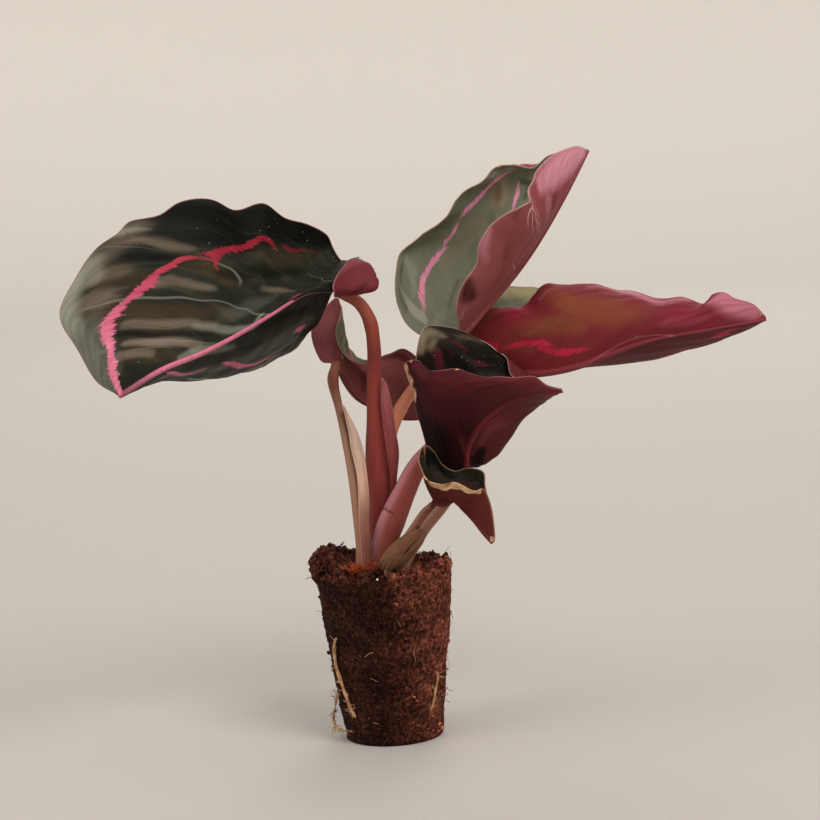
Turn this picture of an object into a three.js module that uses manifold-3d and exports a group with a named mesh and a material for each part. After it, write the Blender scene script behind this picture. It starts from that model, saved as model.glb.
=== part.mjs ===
// A young rose-painted calathea on its root plug: a tapered block of peat with pale roots on
// its skin, six stalks that rise from one crown, and six folded leaves, green above and purple
// below. Millimetres, +Z up. The origin is the centre of the plug's flat underside, and the
// plant's broad front looks towards -Y.

import * as THREE from "three";
import Module from "manifold-3d";
import { mergeVertices } from "three/addons/utils/BufferGeometryUtils.js";

const wasm = await Module();
wasm.setup();

// The root plug: a frustum of peat whose top falls a little to the left, with crumbs pressed
// into its skin. Loose peat is heaped over its rim on the left, where it hangs over by the lip
// and no lower, and about the crown. Each stalk and each root stands clear of the peat by the
// clearance.
const PLUG = { topRadius: 17, footRadius: 12, height: 43, sides: 36, rows: 8, rings: 5 };
const TOP_SLOPE = 0.06;
const CRUMB = { size: 3, side: 0.4, top: 0.9 };
const MOUNDS = [
  { x: -12, y: 4, spread: 8.5, height: 4.6, overhang: 2.6 },
  { x: 0, y: -3, spread: 7, height: 1.5, overhang: 0 },
];
const LIP = 2.5;
const CLEARANCE = 0.3;

// The thickness of a blade, and the half width of its midrib at the tip.
const BLADE = { thickness: 0.7, ribTip: 0.3 };
// The columns of its mesh: one within the midrib, at a share of the midrib's half width, one at
// its edge, and the rest at shares of the way from there to the margin. The midrib takes no more
// than a share of a half blade.
const RIB_COLUMN = 0.6;
const COLUMNS = [0.2, 0.42, 0.64, 0.84, 1];
const MOST_RIB = 0.4;

const rad = THREE.MathUtils.degToRad;
const vec = (p) => new THREE.Vector3(...p);

// Six leaves. A blade is drawn by its midrib and by the crease and the margin of its two halves,
// all smooth lines from the base of the blade to its tip through evenly spaced stations. A half
// blade swings out from the midrib, bends over at its crease and ends at its margin; near is the
// half on the right of the midrib as the green face is looked at with the tip upwards. rib is the
// half width of the midrib at the base, rows is how finely the blade is split, and wave is the
// height of the ripple of the margins, how many there are, and where along its turn it starts.
const LEAVES = {
  left: {
    rib: 1.1,
    rows: 44,
    wave: [0.6, 7, 0.1],
    midrib: [
      [-7.8, -2, 111.1], [-14.5, -12, 111.5], [-22.5, -21, 108], [-30.5, -29, 104.5],
      [-38.5, -36, 101.5], [-47, -42, 99], [-56.2, -45, 94.8],
    ],
    near: {
      crease: [
        [-7.1, -2.5, 110.7], [16, -7.5, 109.5], [11.5, 1, 118], [-3.5, 3, 118], [-12, 3, 120],
        [-17, -1, 120], [-22, -8, 119.5], [-28.5, -14, 118], [-35, -20, 117], [-43, -27, 114],
        [-51.5, -34, 110], [-56.5, -40, 104], [-56.4, -44.8, 95],
      ],
      margin: [
        [-6.4, -3, 110.4], [-7.5, -7.5, 110], [-7.5, -10, 111.5], [-7.5, -11, 113.5],
        [-5.5, -10.5, 116.5], [-3.5, -7, 118.5], [-1, -2, 119], [-4.5, 1, 117.5], [-7, 1, 121],
        [-8.5, 0, 124.5], [-13, -1, 127.5], [-18.5, -3, 129.5], [-23, -6, 133.5], [-29.5, -9, 132.5],
        [-35.5, -12, 135.5], [-42, -15, 135.5], [-47, -18, 133], [-53.5, -20, 132], [-56.5, -23, 129.5],
        [-61.5, -27, 126.5], [-66.5, -30, 120], [-69.5, -34, 113], [-67.5, -38, 105], [-63, -41, 99],
        [-56.5, -44.6, 95.2],
      ],
    },
    far: {
      crease: [
        [-8.3, -1.7, 110.4], [-10.5, 6, 101.5], [-18.5, 4, 91], [-29.5, -4, 86], [-39.5, -14, 88],
        [-48.5, -30, 93.5], [-56.3, -44.7, 94.7],
      ],
      margin: [
        [-8.9, -1.3, 109.7], [-12.5, 3, 104], [-18.5, 11, 99], [-27, 14, 97], [-37, 8, 96.5],
        [-44.5, -6, 95.5], [-51.5, -28, 96], [-56.3, -44.3, 94.6],
      ],
    },
  },
  upper: {
    rib: 1.1,
    rows: 36,
    wave: [0.5, 7, 0.3],
    midrib: [
      [23.1, 8, 97.4], [30.5, 8, 105], [37.5, 7, 112.5], [43.5, 5, 120.5], [50, 4, 130.5],
      [55.8, 2, 140.7],
    ],
    near: {
      crease: [[22.8, 7.2, 97.7], [32.5, -6, 112.5], [41, -9, 120.5], [49, -6, 130.5], [55.6, 1.8, 140.8]],
      margin: [
        [22.4, 6.4, 98], [22, 2, 101], [21.5, -2, 104.5], [22.5, -5, 109], [24, -7, 112], [27, -9, 116],
        [27.5, -12, 120.5], [30, -14, 124.5], [34, -15, 127.5], [38, -15, 129.5], [40.5, -14, 130.5],
        [40, -12, 133], [41.5, -10, 135], [42.5, -9, 137], [44.5, -7, 139], [47, -5, 140.5],
        [50, -3, 141.5], [53, -1, 142], [55.4, 1.5, 140.9],
      ],
    },
    far: {
      crease: [[22.5, 8.4, 98], [23, 26, 116.5], [27, 24, 125.5], [41, 17, 136], [55.6, 2.1, 140.9]],
      margin: [
        [21.9, 8.8, 98.6], [19.5, 9, 97], [14, 9, 97], [10, 8, 100], [8, 7, 104.5], [7, 6, 109.5],
        [8, 6, 115], [9.5, 6.5, 119], [13, 7, 121.5], [16, 7.5, 123], [20, 8, 126], [23, 8, 129.5],
        [26, 8, 132.5], [30.5, 8, 135], [33.5, 8, 137.5], [38, 7.5, 138], [42.5, 6.5, 137], [47, 5, 140],
        [55.3, 2.2, 141.1],
      ],
    },
  },
  right: {
    rib: 1.1,
    rows: 36,
    wave: [0.35, 7, 0.1],
    midrib: [
      [32.4, 8, 87.1], [41, 4, 87], [49.5, 0, 88.5], [58, -3, 91.5], [67.5, -5, 94.5], [77.5, -6, 96],
      [95.6, -8, 98.1],
    ],
    near: {
      crease: [[32.4, 8, 88], [41.5, -3, 99.5], [58, -9, 103], [77, -10, 101.5], [95.5, -8.1, 98.4]],
      margin: [
        [32.4, 7.9, 89], [28, 10, 89], [25.5, 13, 94], [26, 13, 98.5], [29.5, 11.5, 102],
        [33.5, 9.5, 103], [38, 7.5, 103.5], [41, 6, 106], [44, 5, 108.5], [49, 4, 108.5],
        [54.5, 3.5, 108], [60, 2.5, 106.5], [65.5, 1.5, 106], [71, -0.5, 103.5], [76.5, -2.5, 104],
        [81.5, -4.5, 102.5], [83.5, -6, 104.5], [86, -7, 105], [88.5, -8, 103.5], [92.5, -8.5, 102],
        [95.5, -8.1, 98.8],
      ],
    },
    far: {
      crease: [[32.7, 8.6, 87.7], [47, 15, 85], [60, 13, 81.5], [78, 4, 89], [95.6, -7.7, 98]],
      margin: [
        [33, 9.3, 88.3], [32, 26, 101], [39, 30, 106], [47.5, 32, 103], [58.5, 30, 95], [69, 22, 89],
        [79.5, 13, 90], [89, 2, 93.5], [95.7, -7.4, 97.8],
      ],
    },
  },
  funnel: {
    rib: 0.9,
    rows: 30,
    wave: [0.35, 6, 0.2],
    midrib: [
      [21.4, -13, 67.7], [22, -15, 73], [24.5, -17, 77.5], [28.5, -17, 81], [32.5, -17, 83.5],
      [38.5, -17, 85], [45.2, -17, 85.1],
    ],
    near: {
      crease: [[20.7, -12.9, 67.9], [16, -22, 81], [19.5, -25, 88], [30.5, -24, 89], [45.2, -17.2, 85.4]],
      margin: [
        [19.9, -12.7, 68], [15.5, -11.5, 68], [13, -10.5, 72], [11, -10, 79], [10, -10, 86],
        [8, -10, 92.5], [11, -12, 94], [14.5, -15.5, 92], [19.5, -18, 92], [24, -20, 91],
        [28.5, -21, 90], [33.5, -21, 89.5], [38.5, -20, 89.5], [41.5, -18.5, 87], [45.2, -17.4, 85.7],
      ],
    },
    far: {
      crease: [[21.1, -12.4, 68], [40.5, -8, 61], [50.5, 0, 71.5], [49.5, -4, 77], [45.2, -16.7, 85.1]],
      margin: [
        [20.7, -11.8, 68.3], [18.5, -8, 69], [14, -3, 76.5], [11, 0, 86.5], [11.5, -1, 95],
        [14, -2, 101], [20.5, 1.5, 99.5], [26, 3, 97], [30.5, 2.5, 94], [33, 1, 91.5], [34, -3, 88],
        [39, -10, 86], [45.2, -16.3, 85.2],
      ],
    },
  },
  back: {
    rib: 0.9,
    rows: 22,
    wave: [0.4, 5, 0.1],
    midrib: [
      [-8, 7, 92.6], [-6.5, 9, 87.5], [-4, 12, 83], [0.5, 15, 79.5], [5.5, 18, 76.5], [10.5, 20, 75.5],
      [15.4, 21, 76.1],
    ],
    near: {
      crease: [
        [-8.8, 7.2, 92.5], [-8, 7, 94], [-7, 7, 90.5], [-7, 8, 90], [0, 11, 85], [5, 13, 84.5],
        [10, 16, 84.5], [13, 18.5, 81.5], [15.3, 20.9, 76.5],
      ],
      margin: [
        [-9.5, 7.4, 92.3], [-12.5, 7.5, 93.5], [-14, 9.5, 101], [-8, 9, 108], [-6.5, 8.5, 106],
        [-8, 7, 99], [-3.5, 7, 92], [4, 13, 93], [9, 16, 93.5], [14.5, 19, 86.5], [15.3, 20.9, 76.8],
      ],
    },
    far: {
      crease: [[-8.2, 7.7, 92.8], [-5.5, 16, 90.5], [0.5, 24, 81.5], [7.5, 28, 78], [15.3, 21.3, 76.3]],
      margin: [
        [-8.3, 8.4, 93], [-9.5, 13, 96], [-9, 17, 101], [-6.5, 22, 95], [-3, 26, 91], [3.5, 30, 89],
        [9.5, 32, 86.5], [14.5, 30, 81], [15.2, 21.6, 76.5],
      ],
    },
  },
  small: {
    rib: 0.7,
    rows: 26,
    wave: [0.3, 4, 0.1],
    midrib: [
      [13.2, -19.5, 60.8], [15.5, -21, 60.5], [18, -22, 61.5], [20, -23, 59.5], [22.5, -24, 56.5],
      [24.5, -24.5, 53.5], [26.4, -25, 51.1],
    ],
    near: {
      crease: [[13.1, -19.6, 61.4], [11, -24, 66], [16, -27, 63], [24.5, -27, 62], [26.6, -25.1, 51.3]],
      margin: [
        [13.1, -19.8, 62], [11, -20, 67.5], [11.5, -18, 74], [10, -22, 71.5], [11.5, -26, 68],
        [15, -28, 66.5], [18.5, -28, 66.5], [22.5, -28, 64.5], [25, -27, 64.5], [26.5, -27, 60],
        [27, -26, 54.5], [26.9, -25.3, 51.6],
      ],
    },
    far: {
      crease: [[13.3, -19.4, 61.4], [13, -16, 68], [18.5, -16, 65], [24, -19, 60.5], [26.7, -24.9, 51.3]],
      margin: [
        [13.4, -19.3, 62], [12, -17, 68], [12, -17.5, 74], [14, -16.5, 72.5], [15.5, -16, 69.5],
        [18.5, -16, 67.5], [22, -16.5, 68], [25, -19, 67.5], [25.5, -21, 65], [26, -22, 61],
        [26, -23, 56], [26.9, -24.7, 51.5],
      ],
    },
  },
};

// Stalks, from below the soil to the base of each blade, with the half width at each point.
// flat is the depth of the section as a share of its width.
const STALKS = {
  left: {
    path: [
      [-1.9, 3, 35.7], [-1.4, 3, 43.3], [-0.7, 3, 53.3], [0.6, 2.6, 65.8], [1.1, 2.2, 74.3],
      [0.4, 1.6, 81.1], [0.6, 1, 88.3], [1.1, 0, 95.8], [0.6, -0.5, 102.7], [-1.8, -1.2, 107.6],
      [-5.9, -1.6, 110.1],
    ],
    half: [2, 2.6, 3.3, 3.7, 3.5, 2.1, 1.8, 1.7, 1.55, 1.4, 1.15],
    flat: [1, 0.9, 0.75, 0.62, 0.62, 0.85, 0.95, 1, 1, 1, 1],
  },
  back: {
    path: [
      [-5.4, -5.4, 37.7], [-4.9, -5.4, 45.2], [-4.7, -5.4, 48.9], [-5, -4.6, 55.5], [-5.8, -2.6, 64.6],
      [-7.2, 0, 74.1], [-8.4, 2.4, 81.6], [-9.5, 4.6, 88], [-8.7, 6.2, 91.7],
    ],
    half: [1.5, 1.8, 1.75, 1.7, 1.4, 1.05, 1, 1.25, 1.15],
    flat: [1],
  },
  upper: {
    path: [
      [-2, 8.4, 34.6], [-1.1, 8.4, 44.2], [0.7, 8.4, 56], [2.4, 8.4, 67.2], [3.8, 8.6, 73.9],
      [6.7, 9, 79.9], [10.5, 9.3, 84.9], [15.3, 9.3, 91], [22.1, 8.3, 96.4],
    ],
    half: [1.5, 1.8, 1.8, 1.7, 1.6, 1.6, 1.5, 1.4, 1.15],
    flat: [1],
  },
  right: {
    path: [
      [-1.5, -3, 37], [-0.8, -3, 44.4], [0.5, -3, 48.8], [2.8, -2.8, 54.1], [6.1, -1.6, 60.4],
      [10, 0.6, 66.7], [15.8, 3, 72.2], [22.3, 4.8, 78.5], [28.4, 6.2, 83.8], [31.3, 7.4, 86.2],
    ],
    half: [2, 2.6, 3, 3.3, 2.8, 2.4, 1.9, 1.5, 1.3, 1.15],
    flat: [1, 0.95, 0.9, 0.85, 0.85, 0.9, 1, 1, 1, 1],
  },
  funnel: {
    path: [
      [4.4, -8.2, 38.9], [5.3, -8.2, 45.1], [7.3, -8.6, 48.7], [10.4, -9.4, 53.1], [14.9, -10.6, 58.2],
      [18.7, -12, 63.1], [21, -12.7, 66.4],
    ],
    half: [1.5, 1.9, 1.9, 1.8, 1.7, 1.4, 1.1],
    flat: [1],
  },
  small: {
    path: [
      [0.5, -10.6, 38.9], [1.7, -10.8, 45.1], [4.3, -12.2, 48.9], [7.5, -14.6, 53.3],
      [10.6, -17.6, 57.8], [12.3, -18.8, 59.6],
    ],
    half: [0.9, 1.1, 1.1, 1.1, 1.1, 0.9],
    flat: [1],
  },
};
const STALK_MESH = { sides: 8, steps: 16 };

// Sheaths, thin skins that lean on the lower stalks. Each is drawn between two sides and bows
// out to a crest line. Stations run downwards.
const SHEATHS = {
  left: {
    left: [[2.5, -1, 89], [2, -1.5, 83.5], [2, -1.5, 77.5], [2.5, -1.5, 71], [3, -1, 64]],
    crest: [[3, -2.5, 88.5], [3.5, -3, 84], [4.5, -3.5, 77.5], [5, -3, 71.5], [4.5, -1.5, 64]],
    right: [[3.5, -1.5, 88], [4.5, -1, 83], [5, -0.5, 76.5], [5.5, 0, 70.5], [4.5, 0.5, 64]],
  },
  back: {
    left: [[-7.5, 0, 83], [-6.5, -1.5, 77.5], [-6, -3, 72], [-5, -5, 66], [-5, -6, 60]],
    crest: [[-7, -0.5, 82.5], [-5, -3, 77.5], [-4, -4.5, 72], [-3.5, -6, 66], [-3, -7, 60]],
    right: [[-7, 1, 81.5], [-4.5, -0.5, 76.5], [-3, -2, 71], [-2.5, -3, 65], [-2.5, -4, 59.5]],
  },
  front: {
    left: [[7.5, -16.5, 54], [4.5, -15.5, 52], [1.5, -14.5, 49.5], [-0.5, -14, 46.5], [-1, -13, 44.5]],
    crest: [[9.5, -20.5, 55], [6.5, -19, 52], [4, -18, 49], [1.5, -17, 46], [0.5, -16, 44]],
    right: [[12, -13.5, 52.5], [10, -13, 50], [8, -13, 47.5], [6, -12.5, 45.5], [4, -12.5, 44]],
  },
};
const SHEATH_MESH = { thickness: 0.6, rows: 8, columns: 4 };

// Roots on the skin of the plug: the angle in degrees from the front, the height, and how far
// the middle of the root stands off the plug's side, at each station.
const ROOTS = {
  left: {
    half: 0.65,
    course: [[-52, 28, -2], [-58, 26, 0.3], [-63, 20, 0.5], [-55, 13, 0.4], [-48, 8, 0.3], [-44, 5, -2]],
  },
  right: {
    half: 0.5,
    course: [[56, 18, -2], [54, 16, 0.3], [50, 12, 0.4], [46, 8, 0.2], [44, 6, -2]],
  },
  lower: {
    half: 0.45,
    course: [[-70, 13, -2], [-80, 11, 0.4], [-92, 7, 1.6], [-84, 4, 2.6], [-72, 2.5, 1.2], [-64, 3, -2]],
  },
  rear: {
    half: 0.6,
    course: [[150, 33, -2], [156, 31, 0.3], [168, 24, 0.5], [186, 16, 0.4], [192, 9, 0.3], [194, 6, -2]],
  },
};
const ROOT_MESH = { sides: 5, steps: 14 };

// The value at share t of the smooth line through evenly spaced stations of numbers or points.
function along(stations, t) {
  if (!Array.isArray(stations[0])) return along(stations.map((value) => [value]), t)[0];
  const last = stations.length - 1;
  if (last === 0) return stations[0];
  const at = Math.min(Math.floor(t * last), last - 1);
  const f = t * last - at;
  const [p1, p2] = [stations[at], stations[at + 1]];
  const p0 = stations[at - 1] ?? p1.map((value, i) => 2 * value - p2[i]);
  const p3 = stations[at + 2] ?? p2.map((value, i) => 2 * value - p1[i]);
  return p1.map((value, i) => {
    const slope = p2[i] - p0[i];
    const bend = 2 * p0[i] - 5 * value + 4 * p2[i] - p3[i];
    const twist = 3 * (value - p2[i]) + p3[i] - p0[i];
    return value + 0.5 * f * (slope + f * (bend + f * twist));
  });
}

// How far along a line its direction is measured, and the direction that a section of it is set
// out from.
const END_STEP = 0.01;
const ACROSS = [[0, -1, 0]];
// A place on a smooth line, the way it runs there, and two directions across it.
function frameOn(path, across, t) {
  const centre = vec(along(path, t));
  const ahead = vec(along(path, Math.min(1, t + END_STEP)));
  const tangent = ahead.sub(vec(along(path, Math.max(0, t - END_STEP)))).normalize();
  const up = vec(along(across, t));
  up.addScaledVector(tangent, -up.dot(tangent)).normalize();
  return { centre, tangent, up, side: tangent.clone().cross(up) };
}

// The steps in which the length of a swing is measured.
const ARC_STEPS = 24;
// One crosswise row of a blade at share u of its length, from the far margin to the near one.
// A half blade swings from the midrib past its crease to its margin. Each point comes with its
// distance from the midrib and its share of the way out.
function bladeRow(leaf, u) {
  const centre = vec(along(leaf.midrib, u));
  const rib = leaf.rib + (BLADE.ribTip - leaf.rib) * u;
  const half = ({ crease, margin }) => {
    const [fold, edge] = [crease, margin].map((line) => vec(along(line, u)));
    const swing = new THREE.QuadraticBezierCurve3(centre, fold, edge);
    swing.arcLengthDivisions = ARC_STEPS;
    const reach = swing.getLength();
    const start = Math.min(rib, MOST_RIB * reach);
    const stops = [RIB_COLUMN * start, start, ...COLUMNS.map((share) => start + (reach - start) * share)];
    return stops.map((s) => {
      const share = Math.min(1, s / reach);
      return { point: swing.getPointAt(share), s, share };
    });
  };
  const middle = { point: centre, s: 0, share: 0 };
  return { u, rib, row: [...half(leaf.far).reverse(), middle, ...half(leaf.near)] };
}

// A closed mesh from two faces of a grid, the upper one and the lower one, and the wall
// between them. Both faces are split along the same diagonals.
function slab(upper, lower) {
  const [rows, columns] = [upper.length, upper[0].length];
  const positions = [...upper.flat(), ...lower.flat()].flatMap((p) => [p.x, p.y, p.z]);
  const at = (i, j) => i * columns + j;
  const under = rows * columns;
  const index = [];
  for (let i = 0; i < rows - 1; i++)
    for (let j = 0; j < columns - 1; j++) {
      const [a, b, c, d] = [at(i, j), at(i + 1, j), at(i + 1, j + 1), at(i, j + 1)];
      index.push(a, d, c, a, c, b);
      index.push(a + under, c + under, d + under, a + under, b + under, c + under);
    }
  const rim = [];
  for (let j = 0; j < columns - 1; j++) rim.push(at(0, j));
  for (let i = 0; i < rows - 1; i++) rim.push(at(i, columns - 1));
  for (let j = columns - 1; j > 0; j--) rim.push(at(rows - 1, j));
  for (let i = rows - 1; i > 0; i--) rim.push(at(i, 0));
  rim.forEach((a, i) => {
    const b = rim[(i + 1) % rim.length];
    index.push(a, a + under, b + under, a, b + under, b);
  });
  const geometry = new THREE.BufferGeometry();
  geometry.setAttribute("position", new THREE.Float32BufferAttribute(positions, 3));
  geometry.setIndex(index);
  return geometry;
}

// A blade: a thin shell on both sides of its rows, with the midrib raised from its lower face
// and a wave that grows towards the margins.
function bladeGeometry(leaf) {
  const rows = [];
  for (let i = 0; i <= leaf.rows; i++) {
    const even = i / leaf.rows;
    const eased = (1 - Math.cos(Math.PI * even)) / 2;
    rows.push(bladeRow(leaf, (even + eased) / 2));
  }
  const clamp = (value, top) => Math.min(Math.max(value, 0), top);
  const place = (i, j) => rows[clamp(i, leaf.rows)].row[clamp(j, rows[0].row.length - 1)].point;
  const [height, count, phase] = leaf.wave;
  const [upper, lower] = [[], []];
  rows.forEach(({ u, rib, row }, i) => {
    upper.push([]);
    lower.push([]);
    const swell = height * Math.sin(Math.PI * u) * Math.sin(2 * Math.PI * (count * u + phase));
    row.forEach(({ point, s, share }, j) => {
      const lengthwise = place(i + 1, j).clone().sub(place(i - 1, j));
      const crosswise = place(i, j + 1).clone().sub(place(i, j - 1));
      const normal = crosswise.cross(lengthwise).normalize();
      const middle = point.clone().addScaledVector(normal, swell * share ** 3);
      const ridge = Math.sqrt(Math.max(0, rib * rib - s * s));
      upper[i].push(middle.clone().addScaledVector(normal, BLADE.thickness / 2));
      lower[i].push(middle.clone().addScaledVector(normal, -BLADE.thickness / 2 - ridge));
    });
  });
  return slab(upper, lower);
}

// A stalk or a root: rings of points along its path, closed by a flat fan at each end. extra
// makes it wider and longer all round, for the hole that it stands in.
function cordGeometry(cord, { sides, steps }, extra = 0) {
  const positions = [];
  const index = [];
  for (let i = 0; i <= steps; i++) {
    const t = i / steps;
    const { centre, tangent, up, side } = frameOn(cord.path, ACROSS, t);
    if (i === 0) centre.addScaledVector(tangent, -extra);
    if (i === steps) centre.addScaledVector(tangent, extra);
    const half = along(cord.half, t) + extra;
    const flat = along(cord.flat, t);
    for (let k = 0; k < sides; k++) {
      const turn = (2 * Math.PI * k) / sides;
      const p = centre
        .clone()
        .addScaledVector(side, half * Math.cos(turn))
        .addScaledVector(up, half * flat * Math.sin(turn));
      positions.push(p.x, p.y, p.z);
    }
  }
  for (let i = 0; i < steps; i++)
    for (let k = 0; k < sides; k++) {
      const next = (k + 1) % sides;
      const [a, b] = [i * sides + k, i * sides + next];
      const [c, d] = [b + sides, a + sides];
      index.push(a, c, b, a, d, c);
    }
  for (let k = 1; k < sides - 1; k++) {
    index.push(0, k, k + 1);
    index.push(steps * sides, steps * sides + k + 1, steps * sides + k);
  }
  const geometry = new THREE.BufferGeometry();
  geometry.setAttribute("position", new THREE.Float32BufferAttribute(positions, 3));
  geometry.setIndex(index);
  return geometry;
}

// A sheath: a bowed skin between its two sides.
function sheathGeometry({ left, crest, right }) {
  const { thickness, rows, columns } = SHEATH_MESH;
  const [outer, inner] = [[], []];
  for (let i = 0; i <= rows; i++) {
    const u = i / rows;
    const bow = new THREE.QuadraticBezierCurve3(...[left, crest, right].map((side) => vec(along(side, u))));
    const { tangent: down } = frameOn(crest, ACROSS, u);
    outer.push([]);
    inner.push([]);
    for (let j = 0; j <= columns; j++) {
      const point = bow.getPoint(j / columns);
      const normal = down.clone().cross(bow.getTangent(j / columns)).normalize();
      outer[i].push(point.clone().addScaledVector(normal, thickness / 2));
      inner[i].push(point.clone().addScaledVector(normal, -thickness / 2));
    }
  }
  return slab(inner, outer);
}

// A root in space, from its course over the plug's side.
function rootPath({ half, course }) {
  const path = course.map(([angle, z, off]) => {
    const radius = PLUG.footRadius + ((PLUG.topRadius - PLUG.footRadius) * z) / PLUG.height + off;
    return [radius * Math.sin(rad(angle)), -radius * Math.cos(rad(angle)), z];
  });
  return { path, half: [half], flat: [1] };
}

// Geometry to a solid that can be cut and joined, and back.
function solid(geometry) {
  const bare = geometry.clone();
  bare.deleteAttribute("normal");
  bare.deleteAttribute("uv");
  const merged = mergeVertices(bare, SAME_POINT);
  const vertProperties = new Float32Array(merged.attributes.position.array);
  const triVerts = new Uint32Array(merged.index.array);
  return new wasm.Manifold(new wasm.Mesh({ numProp: 3, vertProperties, triVerts }));
}
function geometryOf(body) {
  const mesh = body.getMesh();
  const geometry = new THREE.BufferGeometry();
  geometry.setAttribute("position", new THREE.Float32BufferAttribute(mesh.vertProperties, 3));
  geometry.setIndex(Array.from(mesh.triVerts));
  return geometry;
}

// Smooth lumps from 0 to 1, one to each cube of space of the given size.
function lumps(x, y, z, size) {
  const corner = (i, j, k) => {
    const value = Math.sin(i * 127.1 + j * 311.7 + k * 74.7) * 43758.5453;
    return value - Math.floor(value);
  };
  const [i, j, k] = [x, y, z].map((value) => Math.floor(value / size));
  const [f, g, h] = [x / size - i, y / size - j, z / size - k].map((s) => s * s * (3 - 2 * s));
  const mix = THREE.MathUtils.lerp;
  const edge = (b, c) => mix(corner(i, j + b, k + c), corner(i + 1, j + b, k + c), f);
  return mix(mix(edge(0, 0), edge(1, 0), g), mix(edge(0, 1), edge(1, 1), g), h);
}

// The rows of the plug's side crowd towards its rim by this power, and crumbs are pressed in as
// if the radius were never less than the least one, so that the middle of the top stays whole.
const CROWDING = 1.5;
const LEAST_RADIUS = 4;
// Points of a surface closer together than this are one point.
const SAME_POINT = 1e-4;
// The plug: a lathed frustum whose side and top are roughened into crumbs.
function plugGeometry() {
  const { topRadius, footRadius, height, sides, rows, rings } = PLUG;
  const profile = [new THREE.Vector2(0, 0)];
  for (let i = 0; i <= rows; i++) {
    const t = 1 - (1 - i / rows) ** CROWDING;
    profile.push(new THREE.Vector2(footRadius + (topRadius - footRadius) * t, height * t));
  }
  for (let i = 1; i <= rings; i++)
    profile.push(new THREE.Vector2(topRadius * (1 - i / rings), height));
  const geometry = new THREE.LatheGeometry(profile, sides);
  geometry.rotateX(Math.PI / 2);
  geometry.deleteAttribute("normal");
  geometry.deleteAttribute("uv");
  const merged = mergeVertices(geometry, SAME_POINT);
  const place = merged.attributes.position;
  for (let n = 0; n < place.count; n++) {
    const [x, y, z] = [place.getX(n), place.getY(n), place.getZ(n)];
    if (z < SAME_POINT) continue;
    const radius = Math.hypot(x, y);
    const rough = 2 * lumps(x, y, z, CRUMB.size) - 1;
    const high = Math.max(0, 1 - (height - z) / LIP);
    let [out, up] = [CRUMB.side * rough, CRUMB.top * rough];
    for (const mound of MOUNDS) {
      const near = Math.exp(-((x - mound.x) ** 2 + (y - mound.y) ** 2) / mound.spread ** 2);
      out += mound.overhang * near * high;
      up += mound.height * near;
    }
    if (z < height - SAME_POINT) up = 0;
    const swell = 1 + out / Math.max(radius, LEAST_RADIUS);
    const sink = TOP_SLOPE * (topRadius - x) * (z / height);
    place.setXYZ(n, x * swell, y * swell, z - sink + up);
  }
  return merged;
}

const LOOKS = {
  peat: { colour: "#3b241b", roughness: 0.95 },
  blade: {
    colour: {
      left: "#46543f", upper: "#676b5a", right: "#7a3138",
      funnel: "#3b1c25", back: "#5a3242", small: "#35302a",
    },
    roughness: 0.45,
  },
  stalk: {
    colour: {
      left: "#8a4a3c", upper: "#b06f40", right: "#7d3d4c",
      funnel: "#8e4f42", back: "#8c6a4f", small: "#a67e5b",
    },
    roughness: 0.5,
  },
  sheath: { colour: { left: "#a46f52", back: "#c0a280", front: "#8f7e54" }, roughness: 0.75 },
  root: { colour: "#c79a6a", roughness: 0.85 },
};

const plant = new THREE.Group();
// Adds a piece in the look of its kind.
function piece(name, kind, geometry) {
  const { colour, roughness } = LOOKS[kind];
  const color = typeof colour === "string" ? colour : colour[name];
  geometry.computeVertexNormals();
  const mesh = new THREE.Mesh(geometry, new THREE.MeshStandardMaterial({ color, roughness, metalness: 0 }));
  mesh.name = kind === "peat" ? name : `${name}_${kind}`;
  plant.add(mesh);
}

let plug = solid(plugGeometry());
for (const stalk of Object.values(STALKS))
  plug = plug.subtract(solid(cordGeometry(stalk, STALK_MESH, CLEARANCE)));
for (const root of Object.values(ROOTS))
  plug = plug.subtract(solid(cordGeometry(rootPath(root), ROOT_MESH, CLEARANCE)));
// Crumbs that the cuts leave loose are let go.
const [largest] = plug.decompose().sort((a, b) => b.volume() - a.volume());

piece("root_plug", "peat", geometryOf(largest));
for (const [name, leaf] of Object.entries(LEAVES)) piece(name, "blade", bladeGeometry(leaf));
for (const [name, stalk] of Object.entries(STALKS)) piece(name, "stalk", cordGeometry(stalk, STALK_MESH));
for (const [name, sheath] of Object.entries(SHEATHS)) piece(name, "sheath", sheathGeometry(sheath));
for (const [name, root] of Object.entries(ROOTS))
  piece(name, "root", cordGeometry(rootPath(root), ROOT_MESH));

export default plant;
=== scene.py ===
import math
import random

import bmesh
import bpy
import numpy as np
from mathutils import Matrix, Vector, noise
from mathutils.bvhtree import BVHTree


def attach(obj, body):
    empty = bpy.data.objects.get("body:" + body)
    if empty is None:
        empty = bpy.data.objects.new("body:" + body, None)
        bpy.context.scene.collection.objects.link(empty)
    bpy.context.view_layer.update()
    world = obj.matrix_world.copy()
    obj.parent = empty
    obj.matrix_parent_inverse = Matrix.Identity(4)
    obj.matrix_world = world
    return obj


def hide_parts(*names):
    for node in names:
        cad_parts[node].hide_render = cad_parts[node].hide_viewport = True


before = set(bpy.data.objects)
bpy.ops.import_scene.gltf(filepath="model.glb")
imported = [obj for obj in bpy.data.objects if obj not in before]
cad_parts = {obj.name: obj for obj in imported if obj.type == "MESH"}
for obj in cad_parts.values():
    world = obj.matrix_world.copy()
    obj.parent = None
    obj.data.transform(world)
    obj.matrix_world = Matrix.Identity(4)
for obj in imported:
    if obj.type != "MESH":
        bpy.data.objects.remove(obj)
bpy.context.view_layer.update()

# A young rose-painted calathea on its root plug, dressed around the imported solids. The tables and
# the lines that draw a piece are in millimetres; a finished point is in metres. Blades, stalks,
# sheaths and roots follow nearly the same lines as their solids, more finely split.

MM = 0.001
chance = random.Random(11)

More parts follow.
